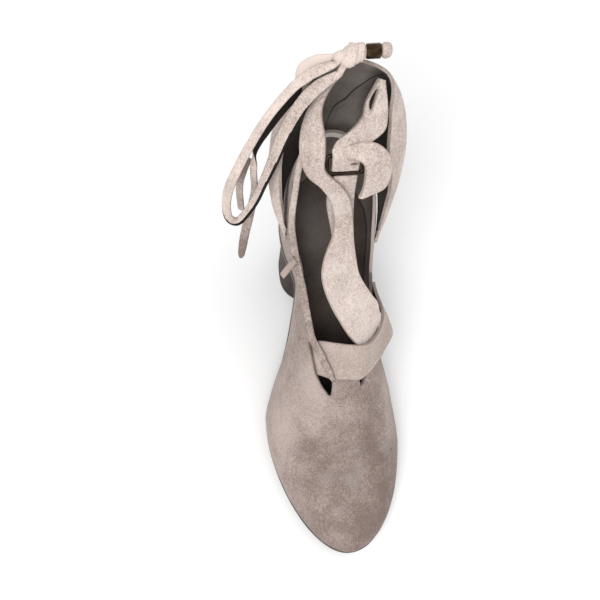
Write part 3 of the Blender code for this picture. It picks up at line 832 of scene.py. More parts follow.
def heel_ring(share, inset=0.0, count=96):
    """The heel block's outline, from the floor (0) to the seat (1)."""
    mixed = HeelRing(*(a + (b - a) * share for a, b in zip(HEEL_FOOT, HEEL_SEAT)))
    waist = HEEL_WAIST * math.sin(math.pi * share) + inset
    ring = []
    for i in range(count + 1):
        along = -math.cos(math.pi * i / count)
        x = mixed.x + (mixed.length - waist) * along
        half = (mixed.width - waist) * max(0.0, 1 - abs(along) ** mixed.square) ** (1 / mixed.square)
        seat = smooth_value(LAST, "feather", x) - SOLE - SEAT_GAP
        foot = TOP_PIECE + GAP
        ring.append((x, mixed.y - half, mixed.y + half, foot + (seat - foot) * share))
    return ring


heel_shares = [RIM_SHARE + (1 - 2 * RIM_SHARE) * k / HEEL_RINGS for k in range(HEEL_RINGS + 1)]
heel_rings = [heel_ring(0.0, RIM)] + [heel_ring(share) for share in heel_shares] + [heel_ring(1.0, RIM)]
heel = plate("heel_covered", heel_rings, heel_finish, "heel")
foot_rings = [[(x, outer, inner, z) for x, outer, inner, _ in heel_ring(0.0, inset)]
              for inset, z in ((RIM, 0.0), (0.0, RIM), (0.0, TOP_PIECE - RIM), (0.4, TOP_PIECE))]
top_piece = plate("heel_top_rubber", foot_rings, rubber, "heel_top_piece")
print("heel and top piece:", face_counts(heel, top_piece), "faces")

# %% [markdown]
# Straps
#
# A strap is a strip of suede with a dark backing, cut to a curved outline. A table holds its edges, row by
# row, and a smooth curve through the rows gives its skin. The cuff behind the ankle has a third line, its
# waist, because it is bent across as well. Each skin gets a low crown and a little unevenness, because a worn
# strap is never flat, a shallow groove where it is sewn, and its slits. A curve with a flat bevel would give
# an even strip faster, but these straps widen, narrow and lean, so both edges are given.


# %% Curves along a strap
def along_rows(rows, t):
    """A smooth curve through all of a table's columns; t runs from 0 to the last row's number."""
    spot = min(int(t), len(rows) - 2)
    t -= spot
    before, start = Vector(rows[max(spot - 1, 0)]), Vector(rows[spot])
    end, after = Vector(rows[spot + 1]), Vector(rows[min(spot + 2, len(rows) - 1)])
    return 0.5 * (2 * start + (end - before) * t + (2 * before - 5 * start + 4 * end - after) * t * t
                  + (3 * start - before - 3 * end + after) * t ** 3)


def through(*stops):
    """A value that changes evenly through stops of (share of the length, value)."""
    shares, values = zip(*stops)
    return lambda share: float(np.interp(share, shares, values))


print("halfway from 0 to 5:", through((0.0, 0.0), (1.0, 5.0))(0.5))

# %% Places across a strap
STITCH_IN = 1.7                                          # the sewn line runs this far in from an edge
NEAR_EDGE = (0.0, 0.5, 1.1, 1.4, STITCH_IN, 2.0, 2.6)    # places across a strap, in from an edge
CELL, LEAST_CELLS = 2.6, 7                               # widest cell across a strap, least number of them
CROWN_WIDE = 20.0                                        # a crown is given for a strap this wide


def across(width, middle_steps):
    """Places across a strap, from one edge, close together near both edges."""
    near = [d * min(1.0, width / (3 * NEAR_EDGE[-1])) for d in NEAR_EDGE]
    middle = [near[-1] + (width - 2 * near[-1]) * k / middle_steps for k in range(1, middle_steps)]
    return near + middle + [width - d for d in reversed(near)]


def cross_place(places, share):
    """The point at a share of the way across: on a line between two edges, on a curve if there is a waist."""
    return places[0].lerp(places[1], share) if len(places) == 2 else along_rows(places, 2 * share)


print("places across a wide strap:", len(across(CROWN_WIDE, LEAST_CELLS)))

# %% Rows of a strap
ROW_STEPS = 14
GROOVE, GROOVE_WIDE, GROOVE_FULL = 0.15, 0.35, 8.0    # a sewn line: its depth, its width, full on this width
UNEVEN, HILLS = 0.3, 0.11                             # height of the unevenness, hills in a millimetre
PROBE = 0.02                                          # share of the width over which the tilt is taken
Slit = namedtuple("Slit", "row share long wide")      # where it is, and its half length and half width


def strap_rows(rows, crown, flip, groove, slits, folds):
    """Points, edge distances and outward directions over a strap."""
    steps = (len(rows) - 1) * ROW_STEPS
    lines = []
    for i in range(steps + 1):
        spot = along_rows(rows, i / ROW_STEPS)
        lines.append([Vector(spot[k:k + 3]) for k in range(0, len(spot), 3)])
    middles = [(line[0] + line[-1]) / 2 for line in lines]
    travelled = np.cumsum([0.0] + [(b - a).length for a, b in zip(middles, middles[1:])])
    widths = [sum((b - a).length for a, b in zip(line, line[1:])) for line in lines]
    middle_steps = max(LEAST_CELLS, round(max(widths) / CELL))
    points, distances, outward = [], [], []
    for i, (line, width) in enumerate(zip(lines, widths)):
        run = middles[min(i + 1, steps)] - middles[max(i - 1, 0)]
        row, near, outs = [], [], []
        for d in across(width, middle_steps):
            share = d / width
            spot = cross_place(line, share)
            side = cross_place(line, min(share + PROBE, 1.0)) - cross_place(line, max(share - PROBE, 0.0))
            out = run.cross(side).normalized() * (-1 if flip else 1)
            edge = min(d, width - d)
            lift = crown * width / CROWN_WIDE * (1 - (2 * share - 1) ** 2)
            pressed = math.exp(-((edge - STITCH_IN) / GROOVE_WIDE) ** 2)
            lift -= groove * pressed * min(1.0, width / GROOVE_FULL)
            lift += UNEVEN * noise.noise(spot * HILLS) + crease_lift(folds, spot.y, spot.z)
            for slit in slits:
                along = travelled[i] - np.interp(slit.row * ROW_STEPS, range(steps + 1), travelled)
                off = d - slit.share * width
                edge = min(edge, (math.hypot(along / slit.long, off / slit.wide) - 1) * slit.wide)
            row.append(spot + out * lift)
            near.append(edge)
            outs.append(out)
        points.append(row)
        distances.append(near)
        outward.append(outs)
    return points, distances, outward


print("steps from row to row:", ROW_STEPS)

# %% A strap
sewn_lines = []


def strap(name, rows, node, crown=0.5, flip=False, sewn=False, front=strap_suede, back=strap_lining,
          slits=(), folds=(), naps_and_light=None):
    """A strap with its backing. A sewn strap also leaves its two sewn lines for the thread, and its nap
    values say how pale it is brushed at each share of its length."""
    points, distances, outward = strap_rows(rows, crown, flip, GROOVE if sewn else 0.0, slits, folds)
    work = skin(points, distances, flip)
    if naps_and_light:
        nap, _ = nap_and_edge(work)
        for i, corner in enumerate(work.verts):
            corner[nap] = naps_and_light(i / len(work.verts))
    trim(work)
    made = piece(name, work, [front, back], node)
    thicken(made, STRAP, offset=0.0, rounding=0.5)
    if sewn:
        spot = NEAR_EDGE.index(STITCH_IN)
        for column in (spot, len(points[0]) - 1 - spot):
            sewn_lines.append([(row[column] + outs[column] * STRAP / 2, outs[column])
                               for row, outs in zip(points, outward)])
    return made


print("strap helper ready")

# %% Cross strap and wrap strap
# A row of a strap is x, y and z of its first edge, then of its second. The cuff's waist lies between them.
CROSS_STRAP = [
    (5, -17.5, 50, -15, -17.5, 52),
    (7, -12.4, 54.5, -12, -13.6, 58.5),
    (9.5, -8.5, 63.5, -10, -9, 71.5),
    (12.5, -2.5, 66.8, -7, 0, 77),
    (13.5, 6, 67.2, -5, 9, 78.5),
    (13, 15, 64.5, -5.5, 18, 76),
    (4, 25, 60, -11, 25, 70),
    (-8, 34, 54, -19, 30, 66),
    (-18, 39.5, 50, -28, 32, 65),
    (-30, 35.5, 48.5, -38, 30, 63.5),
    (-40, 29.8, 50, -47, 28.7, 63),
]
WRAP_STRAP = [
    (-2, 16, 70.5, -10, 25.8, 61),
    (-5, 13, 74, -17, 27.6, 63.5),
    (-11, 7, 80, -24, 29, 67.5),
    (-20, 0, 89, -31, 27, 74),
    (-30, -6, 98, -34.5, 21.5, 84.5),
    (-38, -9, 107, -41, 13, 101),
    (-46, -8, 115, -48, 10, 112),
    (-55, -4, 124, -55, 8, 122),
    (-62, -3, 131, -62, 7, 130),
    (-69, -5, 138, -70, 5, 138),
    (-75, -10, 143, -75, 0, 145),
    (-80, -17, 147.5, -79.5, -8.2, 152),
    (-87, -20, 151, -85.5, -8.5, 158),
    (-94, -20.5, 156, -92, -8.5, 163),
    (-101, -19, 161, -100, -10, 168),
    (-106, -16, 168, -104.5, -9.5, 173.5),
    (-110, -12.5, 175.5, -109, -6, 180),
    (-114.5, -7, 182, -114, 0, 184.5),
]
cross_strap = strap("cross_strap_suede", CROSS_STRAP, "cross_strap", crown=0.3, sewn=True, front=cross_suede)
WRAP_NAP = through((0.0, 0.10), (0.22, 0.06), (0.4, -0.02), (0.6, -0.05), (1.0, -0.02))
wrap_strap = strap("wrap_strap_suede", WRAP_STRAP, "wrap_strap", crown=0.6, flip=True, naps_and_light=WRAP_NAP)
print("cross and wrap straps:", face_counts(cross_strap, wrap_strap), "faces")

# %% [markdown]
# The cuff is the tall piece round the back of the ankle, the short strap in front holds the buckle, and the
# keeper is a small strip over the side lace. The cuff's lower edge is sewn to the counter, so it is pressed
# on it here, closer than the solids stand. A Shrinkwrap modifier could press it, but rows moved one by one
# leave the rest of the cuff alone. Its soft folds are troughs like those of the vamp.

# %% Buckle strap, ankle band and lace keeper
BUCKLE_STRAP = [
    (-45, -2.5, 107, -45, 7.5, 104.2),
    (-51, -2.5, 113.2, -51, 8, 110.5),
    (-58, -3.5, 121, -58, 8, 119.5),
    (-69, -6.5, 132.8, -69, 8, 131),
    (-74.5, -6.0, 139.2, -74.5, 8, 138.5),
    (-79.1, -3.5, 147.5, -79.1, 8.5, 147.5),
]
ANKLE_BAND = [
    (-68, -25.9, 89, -70, -26.1, 93.5, -72, -26.2, 98),
    (-81, -27.6, 103, -81.5, -33, 112, -80.5, -29.5, 126),
    (-94, -24.9, 113, -95.5, -34.5, 126, -91.5, -29.5, 144),
    (-106.5, -17.6, 120, -112.5, -30.5, 140, -106, -25, 161.5),
    (-113.6, -8.6, 123, -121.5, -18, 152, -116, -15, 176.5),
    (-116.4, 1, 124, -122.5, 3, 157, -120, 1, 185),
    (-113.6, 9.6, 123, -119.5, 28, 152, -115.5, 22.3, 177.5),
    (-106.5, 17.8, 120, -110, 36.5, 142, -104.5, 25.4, 161),
    (-94, 24.9, 113, -97, 38, 127, -91.5, 26.6, 145),
    (-81, 28.0, 101.5, -81.5, 34, 112, -79, 28.8, 127),
    (-65, 27.9, 84, -67, 28.2, 89, -68.5, 27.9, 93),
]
CUFF_FOLDS = [
    Crease(6, 152, 12, 132, 2.6, 0.9),
    Crease(-16, 160, -12, 138, 3.0, 0.7),
    Crease(22, 165, 27, 140, 3.0, 0.7),
]
LACE_KEEPER = [
    (-52.7, -20.4, 92.2, -55.2, -22.9, 94.4),
    (-50.6, -22.7, 91, -53.1, -25.2, 93),
    (-49.5, -24.5, 86, -52.1, -27.1, 88),
    (-48.1, -27.4, 78, -50.8, -29.6, 80),
]
buckle_strap = strap("buckle_strap_suede", BUCKLE_STRAP, "buckle_strap", crown=0.2, flip=True)
ankle_band = strap("ankle_band_suede", ANKLE_BAND, "ankle_band", crown=0.0, flip=True, sewn=True,
                   back=cuff_lining, folds=CUFF_FOLDS)
keeper = strap("lace_keeper_suede", LACE_KEEPER, "lace_keeper", crown=0.3, flip=True, front=cross_suede)
print("buckle strap, cuff and keeper:", face_counts(buckle_strap, ankle_band, keeper), "faces")

# %% [markdown]
# The ankle strap runs from the cuff through the buckle, and its free end curls out beside it. The end is a
# strip of its own, because it starts on top of the strap. A Boolean could cut the slits. Here each is an oval
# whose distance joins that of the edges, so the same trim cuts it.

# %% Ankle strap with its free end
ANKLE_STRAP = [
    (-113.4, 17.2, 177.8, -113.9, 20.4, 175.6),
    (-106.5, 11.7, 171, -108, 22.5, 167),
    (-100, 9.5, 167, -102, 23, 162),
    (-95, 4, 164, -96, 21.5, 160),
    (-91.5, -2, 162, -90.5, 15, 159.5),
    (-87, -5.3, 161, -86.6, 9.5, 160),
    (-84, -5.2, 158.1, -83.8, 8.8, 157.9),
    (-80.9, -5, 150.2, -80.8, 8.6, 150.1),
]
STRAP_END = [
    (-83.8, 1, 157.8, -88, 1, 161.3),
    (-81, 7.5, 158.7, -88.5, 9, 163.3),
    (-78.3, 10.5, 157.5, -88, 17, 162),
    (-76, 11, 154.5, -84, 24, 156),
    (-74, 11, 151, -78, 25, 149.5),
    (-71.5, 10.5, 147.5, -73, 22.5, 144.5),
    (-69.5, 9.5, 144.5, -71, 16.5, 142),
    (-68.5, 8.5, 143, -68, 10.5, 142.2),
]
STRAP_SLITS = [Slit(0.95, 0.25, 5.4, 1.5), Slit(6.45, 0.8, 0.8, 2.0)]
ankle_strap = strap("ankle_strap_suede", ANKLE_STRAP, "ankle_strap", crown=0.3, slits=STRAP_SLITS)
strap_end = strap("ankle_strap_end", STRAP_END, None, crown=0.3)
print("ankle strap and its end:", face_counts(ankle_strap, strap_end), "faces")

# %% [markdown]
# Laces and the bow
#
# The laces are narrow suede strips, almost flat, with a dark back. Each follows a given route of points, on
# one smooth curve. A ring of points round the route, wider than it is thick, gives the strip. A lace that
# twists shows its back, and beside one edge of some stretches its front is given the back's dark finish,
# partly its back turned up at a folded edge and partly painted shade. A curve with a bevel would follow the
# route as well, but rings of points also carry the nap and that dark edge.

# %% Routes of the laces
LACE = [(14.8, -2, 69.8), (7.2, -5.8, 71.8), (-1.5, -9.2, 73.5), (-7, -11.6, 73.2), (-12.5, -13.4, 72.2),
        (-20.3, -14.3, 72), (-30, -15.5, 74), (-41.4, -17.2, 79.5), (-49.5, -19.2, 85), (-57.5, -21, 92),
        (-68, -23, 104), (-74, -23, 113), (-80, -22, 127.5), (-86, -20.8, 141), (-92, -18.5, 151)]
BOW_LOOP = [(-115.4, -5.5, 187.7), (-112.9, -13.9, 187.2), (-110.2, -19.3, 186), (-107.1, -25.5, 183),
            (-99, -36.4, 174.5), (-92, -45.4, 161), (-85, -53, 147), (-79.5, -57.8, 136), (-75, -59.3, 125),
            (-72.2, -58, 116.5), (-72.2, -53.6, 111.8), (-75.3, -48.7, 115), (-79.1, -43.3, 124),
            (-84.4, -38.6, 135), (-89.7, -34.1, 145.5), (-95.3, -29.9, 155.5), (-101, -24.6, 166),
            (-105.6, -18.2, 176.5), (-108.2, -12.4, 182.5), (-111.2, -3.4, 186.5)]
TIE_END = [(-119.7, -6.0, 187.2), (-119.4, -13.1, 185), (-118.4, -17.6, 182.5), (-116.6, -20.7, 179.5),
           (-113.8, -21.3, 176.5), (-110.9, -22.4, 173), (-108.3, -26.4, 169), (-104.6, -32, 163.5),
           (-100.2, -37.6, 157.5), (-95.5, -42.3, 151.5), (-88.6, -44, 142), (-86.1, -43.4, 123),
           (-82.7, -44.8, 110), (-77.4, -47.6, 98), (-71.8, -50.2, 85), (-65, -52.5, 72)]
TIE_INNER = [(-90.7, -47.8, 141.5), (-88.8, -49.6, 138), (-87.2, -51.2, 130), (-85.1, -51.7, 121.5),
             (-83, -51.4, 114), (-81.3, -51.1, 107.5)]
print("points on the routes:", [len(route) for route in (LACE, BOW_LOOP, TIE_END, TIE_INNER)])


# %% Rings of points
def circle(count, start=0.0):
    """Cosine and sine of even steps round a circle."""
    angles = [2 * math.pi * (k + start) / count for k in range(count)]
    return [(math.cos(angle), math.sin(angle)) for angle in angles]


def squared(value, power):
    """A cosine or sine pushed outward, which makes a circle a rounded square."""
    return math.copysign(abs(value) ** power, value)


def bridge(work, rings, closed=False):
    """Bands of faces from ring to ring. Open ends get a cap."""
    bands = []
    for one, other in zip(rings, rings[1:] + rings[:1] if closed else rings[1:]):
        sides = [(k, (k + 1) % len(one)) for k in range(len(one))]
        bands.append([work.faces.new((one[k], one[after], other[after], other[k])) for k, after in sides])
    if not closed:
        work.faces.new(reversed(rings[0]))
        work.faces.new(rings[-1])
    return bands


print("a quarter turn in two steps:", [round(value, 2) for value in circle(8)[1]])

# %% Strips of lace
LACE_SIDES, LACE_STEPS = 40, 12
LACE_EDGE = 0.4                        # a lace's cut edge counts as this far in, so its edge is darkened less, rubbing and painted shade alike
LACE_SQUARE, LACE_FLAT = 0.8, 0.6      # how square its section is across and through


def route_points(route, first, last):
    """Points along a smooth curve through a route, run on straight to a first and a last point if given."""
    line = [along_rows(route, i / LACE_STEPS) for i in range((len(route) - 1) * LACE_STEPS + 1)]
    return [Vector(spot) for spot in first] + line + [Vector(spot) for spot in last]


def steady(value):
    return through((0.0, value), (1.0, value))


def strip(work, spots, sides, faces, naps_and_light, folds, closed=False):
    """Skins a flat strip. At each spot, sides reaches to an edge and faces to the front. The back is dark,
    and so are the strips of the front, counted by folds, that lie beside the first edge: partly the back
    turned up, partly painted shade. Where that count is below zero the lace is rolled up and shows no back."""
    nap, edge = nap_and_edge(work)
    rings = []
    for spot, side, face, brushed_and_lit in zip(spots, sides, faces, naps_and_light):
        ring = []
        for c, s in circle(LACE_SIDES):
            along, out = squared(c, LACE_SQUARE), squared(s, LACE_FLAT)
            corner = work.verts.new(spot + side * along + face * out)
            corner[edge] = LACE_EDGE + side.length * (1 - abs(along))
            corner[nap] = brushed_and_lit
            ring.append(corner)
        rings.append(ring)
    for band, fold in zip(bridge(work, rings, closed), folds):
        for k, quad in enumerate(band):
            quad.material_index = fold >= 0 and (k < round(fold) or k >= LACE_SIDES // 2)


print("strip helper ready")

# %% A lace
Lie = namedtuple("Lie", "wide thick nap twist fold", defaults=(steady(0.0), steady(0.0)))


def lace(name, route, node, facing, lie, first=(), last=()):
    """A flat lace that faces one way. lie says, at each share of its length, how wide and thick it is to
    each side of its middle, how pale it is brushed, with painted shade in places, its half turns, and its
    dark edge, partly a folded edge and partly painted shade."""
    line = route_points(route, first, last)
    shares = [i / (len(line) - 1) for i in range(len(line))]
    sides, faces = [], []
    for i, share in enumerate(shares):
        run = (line[min(i + 1, len(line) - 1)] - line[max(i - 1, 0)]).normalized()
        side = run.cross(Vector(facing)).normalized()
        side.rotate(Quaternion(run, math.pi * lie.twist(share)))
        sides.append(side * lie.wide(share))
        faces.append(side.cross(run) * lie.thick(share))
    work = blank()
    naps_and_light, folds = ([column(share) for share in shares] for column in (lie.nap, lie.fold))
    strip(work, line, sides, faces, naps_and_light, folds)
    bmesh.ops.recalc_face_normals(work, faces=work.faces)
    made = piece(name, work, [lace_suede, strap_lining], node)
    return made, [inside(spot) for spot in line]


def length_of(line):
    return sum((b - a).length for a, b in zip(line, line[1:]))


print("lace helper ready")

# %% Side lace and bow
SIDE_LIE = Lie(through((0.0, 1.0), (0.05, 2.2), (0.6, 2.2), (0.8, 1.9), (1.0, 1.7)), steady(0.9),
               through((0.0, -0.16), (0.4, -0.1), (0.7, -0.06), (0.8, 0.04), (1.0, 0.06)))
# The loop's dark strip beside one edge is partly its dark back turned up, partly painted shade.
BOW_LIE = Lie(through((0.0, 1.6), (0.05, 2.6), (0.2, 2.2), (0.28, 2.4), (0.36, 2.7), (0.46, 2.4), (0.66, 2.4),
                      (0.76, 3.3), (0.87, 3.6), (0.95, 3.0), (1.0, 1.6)), steady(1.0),
              through((0.0, 0.1), (0.3, 0.14), (0.5, 0.08), (1.0, 0.06)),
              fold=through((0.38, 0.0), (0.45, 6.0), (0.52, 8.0), (0.66, 8.0), (0.76, 6.0), (0.87, 5.0),
                           (0.92, 0.0)))
# The hanging end's nap falls toward its tail, darkest at the tip: painted shade.
TIE_LIE = Lie(through((0.0, 1.4), (0.06, 2.8), (0.14, 3.3), (0.24, 2.6), (0.34, 2.1), (0.5, 2.4), (0.62, 2.0),
                      (0.74, 2.0), (0.86, 2.8), (0.95, 2.7), (0.985, 2.1), (1.0, 1.0)),
              through((0.0, 1.0), (0.1, 2.4), (0.2, 2.0), (0.28, 1.0), (1.0, 1.0)),
              through((0.0, 0.4), (0.2, 0.4), (0.65, 0.1), (0.8, 0.0), (0.92, -0.12), (1.0, -0.4)),
              twist=through((0.15, 0.0), (0.26, 0.6), (0.34, 1.0), (0.57, 1.0), (0.62, 0.5), (0.66, 0.0)),
              fold=through((0.0, -1.0), (0.18, -1.0), (0.22, 0.0)))
# The inner end starts deep where it comes out from behind the loop: painted shadow.
INNER_LIE = Lie(through((0.0, 1.6), (0.2, 2.2), (1.0, 2.0)), steady(1.0),
                through((0.0, -0.45), (0.3, -0.1), (0.5, 0.05), (1.0, 0.05)))
_, side_line = lace("side_lace_suede", LACE, "side_lace", (0.35, -0.35, 1.0), SIDE_LIE)
bow, bow_line = lace("bow_loop_suede", BOW_LOOP, "bow_loop", (0.5, -0.3, 1.0), BOW_LIE,
                     [(-117.0, -2.2, 189.2)], [(-114.2, -1.0, 188.6)])
tie, tie_line = lace("tie_end_suede", TIE_END, "tie_end", (0.6, -0.5, 0.8), TIE_LIE, [(-118.9, -2.4, 188.6)])
inner, inner_line = lace("tie_inner_suede", TIE_INNER, "tie_inner", (0.6, -0.5, 0.8), INNER_LIE,
                         [(-92.6, -45.9, 145.0)])
lines = {"side lace": side_line, "bow": bow_line, "hanging end": tie_line, "inner end": inner_line}
for name, line in lines.items():
    print(name, round(length_of(line), 4), "m")

# %% [markdown]
# Knot, metal tube and tie tip
#
# The bow is drawn into a small fat knot, and the second end of the tie leaves it through a faceted bronze
# tube. The knot is a soft core with turns of the same flat lace wound round it, so a fold is left wherever
# two turns press on each other. A cloth simulation could tie a true knot, but at this size lobes and turns
# look much the same and stay where they are put.

# %% Knot
KNOT_CENTRE = Vector((-118.5, 1.5, 189.8))
Lobe = namedtuple("Lobe", "x y z half_x half_y half_z")
KNOT_LOBES = [
    Lobe(-0.2, 1.6, 0.0, 4.7, 5.2, 4.3),
    Lobe(-1.2, 5.2, 0.1, 3.6, 3.7, 3.8),
    Lobe(0.4, -3.4, -0.3, 2.9, 4.0, 3.0),
    Lobe(2.8, -0.3, -0.2, 2.9, 3.5, 3.6),
]
Turn = namedtuple("Turn", "x y lean wide tall half")
KNOT_TURNS = [
    Turn(-0.3, 1.3, -16, 4.6, 4.3, 2.4),
    Turn(-1.2, 5.3, -8, 3.6, 3.9, 1.7),
]
TURN_THICK, TURN_STEPS, TURN_NAP = 0.6, 48, 0.16
FAR_IN = 2.0           # the core counts as this far from any cut edge
LOBE_SIDES, LOBE_RINGS = 40, 24


def wind(work, turn):
    """One turn of flat lace round the knot's core, its plane leaning by some degrees."""
    tilt = Matrix.Rotation(math.radians(turn.lean), 3, "Z")
    spots, faces = [], []
    for c, s in circle(TURN_STEPS):
        out = tilt @ Vector((c, 0, s))
        reach = Vector((turn.x + out.x * turn.wide, turn.y + out.y * turn.wide, out.z * turn.tall))
        spots.append(KNOT_CENTRE + reach)
        faces.append(out * TURN_THICK)
    sides = [tilt @ Vector((0, turn.half, 0))] * TURN_STEPS
    strip(work, spots, sides, faces, [TURN_NAP] * TURN_STEPS, [-1] * TURN_STEPS, closed=True)


def make_knot():
    work = blank()
    nap, edge = nap_and_edge(work)
    for lobe in KNOT_LOBES:
        centre, half = KNOT_CENTRE + Vector(lobe[:3]), Vector(lobe[3:])
        ball = bmesh.ops.create_uvsphere(work, u_segments=LOBE_SIDES, v_segments=LOBE_RINGS, radius=1.0)
        for corner in ball["verts"]:
            corner.co = centre + corner.co * half
            corner[nap], corner[edge] = TURN_NAP, FAR_IN
    for turn in KNOT_TURNS:
        wind(work, turn)
    bmesh.ops.recalc_face_normals(work, faces=work.faces)
    return piece("tie_knot_wound", work, [lace_suede, strap_lining], "tie_knot")


knot = make_knot()
print("knot:", face_counts(knot), "faces")

# %% Tube and tip
TIP_START = Vector((-119.5, 9.4, 190.6))
TIP_RADIUS, TIP_TUBE, TIP_BEVEL, TIP_STEP = 3.5, 6.8, 0.5, 0.15
TUBE_SIDES, TIP_SIDES = 8, 32
FACET = math.radians(30)      # the tube's facets turn by more than this and keep their edges


def turned(name, profile, start, sides, finish, node):
    """A solid turned about a line along +Y; profile holds (distance, radius)."""
    work = bmesh.new()
    rings = []
    for distance, radius in profile:
        rings.append([work.verts.new(start + Vector((radius * c, distance, radius * s)))
                      for c, s in circle(sides, 0.5)])
    bridge(work, rings)
    bmesh.ops.recalc_face_normals(work, faces=work.faces)
    made = piece(name, work, [finish], node)
    made.data.set_sharp_from_angle(angle=FACET)
    return made


rim = [(0, TIP_RADIUS - TIP_BEVEL), (TIP_STEP, TIP_RADIUS - TIP_STEP), (TIP_BEVEL, TIP_RADIUS)]
tube_profile = rim + [(TIP_TUBE - distance, radius) for distance, radius in reversed(rim)]
tube = turned("tie_tube_bronze", tube_profile, TIP_START, TUBE_SIDES, bronze, "tie_tube")
stub_start = TIP_START + Vector((0, TIP_TUBE + GAP, 0))
stub_profile = [(0, 2.4), (0.5, 3.1), (1.2, 3.5), (2.4, 3.6), (3.4, 3.4), (4.2, 2.9), (4.7, 2.1), (5.0, 1.0)]
tip = turned("tie_tip_suede", stub_profile, stub_start, TIP_SIDES, rolled_suede, "tie_tip")
print("tube and tip:", face_counts(tube, tip), "faces")

# %% [markdown]
# A real bow unties. The lengths of its loop and of its two free ends are measured here. Each is as long as
# it shows, with ends that run on a little into the knot or behind the tie.

# %% Lengths of the free ties
length_of(bow_line)
for end, line in ((tie, tie_line), (inner, inner_line)):
    length_of(line)
print("cords of", [round(length_of(line), 3) for line in (bow_line, tie_line, inner_line)], "m")

# %% [markdown]
# Buckle
#
# A small rectangular frame of bronze bar holds the ankle strap. Its bar is swept round a rectangle with
# rounded corners, a little flatter than round, as a stamped buckle is. A curve with a round bevel
# would be quicker, but this bar's section is a rounded square, so it is given point by point.

# %% Buckle
BUCKLE_CENTRE = Vector((-82.8, 2.0, 152.4))
BUCKLE_WIDE, BUCKLE_TALL, BUCKLE_CORNER, BUCKLE_SLOPE = 19.0, 9.5, 2.0, math.radians(50)
BAR_HALF, BAR_THICK, BAR_SQUARE, BAR_SIDES, CORNER_STEPS = 1.05, 0.9, 0.6, 12, 8
CORNERS = ((1, 1), (-1, 1), (-1, -1), (1, -1))


def make_buckle():
    wide_axis = Vector((0, 1, 0))
    up = Vector((-math.cos(BUCKLE_SLOPE), 0, math.sin(BUCKLE_SLOPE)))
    face = wide_axis.cross(up)
    half_wide, half_tall = BUCKLE_WIDE / 2 - BUCKLE_CORNER, BUCKLE_TALL / 2 - BUCKLE_CORNER
    work = bmesh.new()
    rings = []
    section = [(squared(c, BAR_SQUARE) * BAR_HALF, squared(s, BAR_SQUARE) * BAR_THICK)
               for c, s in circle(BAR_SIDES, 0.5)]
    for corner, (side, level) in enumerate(CORNERS):
        middle = BUCKLE_CENTRE + wide_axis * side * half_wide + up * level * half_tall
        for step in range(CORNER_STEPS + 1):
            angle = math.pi / 2 * (corner + step / CORNER_STEPS)
            away = wide_axis * math.cos(angle) + up * math.sin(angle)
            spot = middle + away * BUCKLE_CORNER
            rings.append([work.verts.new(spot + away * out + face * forth) for out, forth in section])
    bridge(work, rings, closed=True)
    bmesh.ops.recalc_face_normals(work, faces=work.faces)
    return piece("buckle_frame_bronze", work, [buckle_bronze], "buckle_frame")


buckle = make_buckle()
print("buckle:", face_counts(buckle), "faces")

# %% [markdown]
# Stitching
#
# The cross strap and the cuff are sewn a little in from their edges. A stitch is a short piece of thread that
# dives into the leather at both ends. A row of dashes in the material would look flat, so each stitch is
# modelled, and all of them are one mesh, because many small objects would only slow the scene down.

# %% Stitches
PITCH, STITCH_LONG, THREAD, THREAD_SIDES = 2.5, 1.75, 0.24, 6
STITCH_SHAPE = [(-0.5, -0.5, 0.45), (-0.3, 0.25, 1.0), (0.0, 0.45, 1.0), (0.3, 0.25, 1.0), (0.5, -0.5, 0.45)]


def one_stitch(work, middle, run, out):
    side = run.cross(out).normalized()
    rings = []
    for along, high, wide in STITCH_SHAPE:
        centre = middle + run * along * STITCH_LONG + out * high * THREAD
        rings.append([work.verts.new(centre + (side * c + out * s) * THREAD * wide)
                      for c, s in circle(THREAD_SIDES)])
    bridge(work, rings)


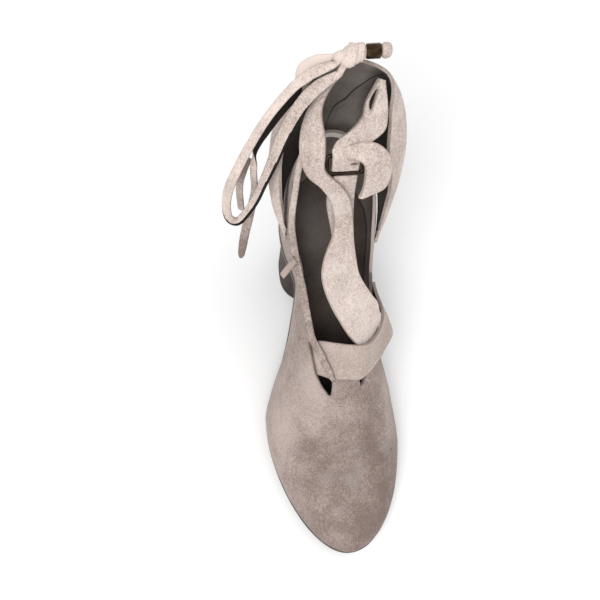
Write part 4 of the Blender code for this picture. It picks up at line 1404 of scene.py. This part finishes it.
def sew_line(work, line):
    """Stitches along a line of (point, outward direction), a pitch apart."""
    travelled, due = 0.0, PITCH
    for (start, _), (end, out) in zip(line, line[1:]):
        travelled += (end - start).length
        if travelled >= due and (end - start).length > 1e-6:
            one_stitch(work, end, (end - start).normalized(), out)
            due += PITCH


stitches = bmesh.new()
for line in sewn_lines:
    sew_line(stitches, line)
bmesh.ops.recalc_face_normals(stitches, faces=stitches.faces)
strap_stitches = piece("strap_stitches", stitches, [thread])
print("stitches:", face_counts(strap_stitches), "faces on", len(sewn_lines), "lines")

# %% [markdown]
# Floor and light
#
# The shoe stands on a plain white floor in soft studio light: a broad lamp above and to the outer side, a
# weaker one across from it, and an even pale surround. Blender's usual tone curve greys a white floor and
# pales the suede, so the plain curve is chosen, which shows colours as they are set.


# %% Floor
def make_floor():
    work = bmesh.new()
    bmesh.ops.create_grid(work, x_segments=1, y_segments=1, size=3.0)
    mesh = bpy.data.meshes.new("floor")
    work.to_mesh(mesh)
    work.free()
    made = add_object("floor", mesh)
    finish = Finish("floor_white", {"Base Color": (0.9, 0.9, 0.9), "Roughness": 0.9})
    mesh.materials.append(finish.material)


make_floor()
print("floor laid")

# %% Lamps and surround
LIT_SPOT = Vector((0.0, 0.0, 0.08))
SURROUND = 0.72
Lamp = namedtuple("Lamp", "name x y z size watts")
LAMPS = [
    Lamp("key", 0.50, -0.42, 1.15, 0.8, 10.0),
    Lamp("fill", -0.3, 0.7, 1.2, 1.2, 3.5),
]


def make_lamp(lamp):
    light = bpy.data.lights.new(lamp.name, "AREA")
    light.size = lamp.size
    light.energy = lamp.watts
    made = add_object(lamp.name, light)
    made.location = (lamp.x, lamp.y, lamp.z)
    aim = LIT_SPOT - made.location
    made.rotation_euler = aim.to_track_quat("-Z", "Y").to_euler()


for lamp in LAMPS:
    make_lamp(lamp)
world = bpy.data.worlds.new("surround")
world.use_nodes = True
world.node_tree.nodes["Background"].inputs["Color"].default_value = (1.0, 1.0, 1.0, 1.0)
world.node_tree.nodes["Background"].inputs["Strength"].default_value = SURROUND
bpy.context.scene.world = world
bpy.context.scene.view_settings.view_transform = "Standard"
print("lamps:", len(LAMPS))
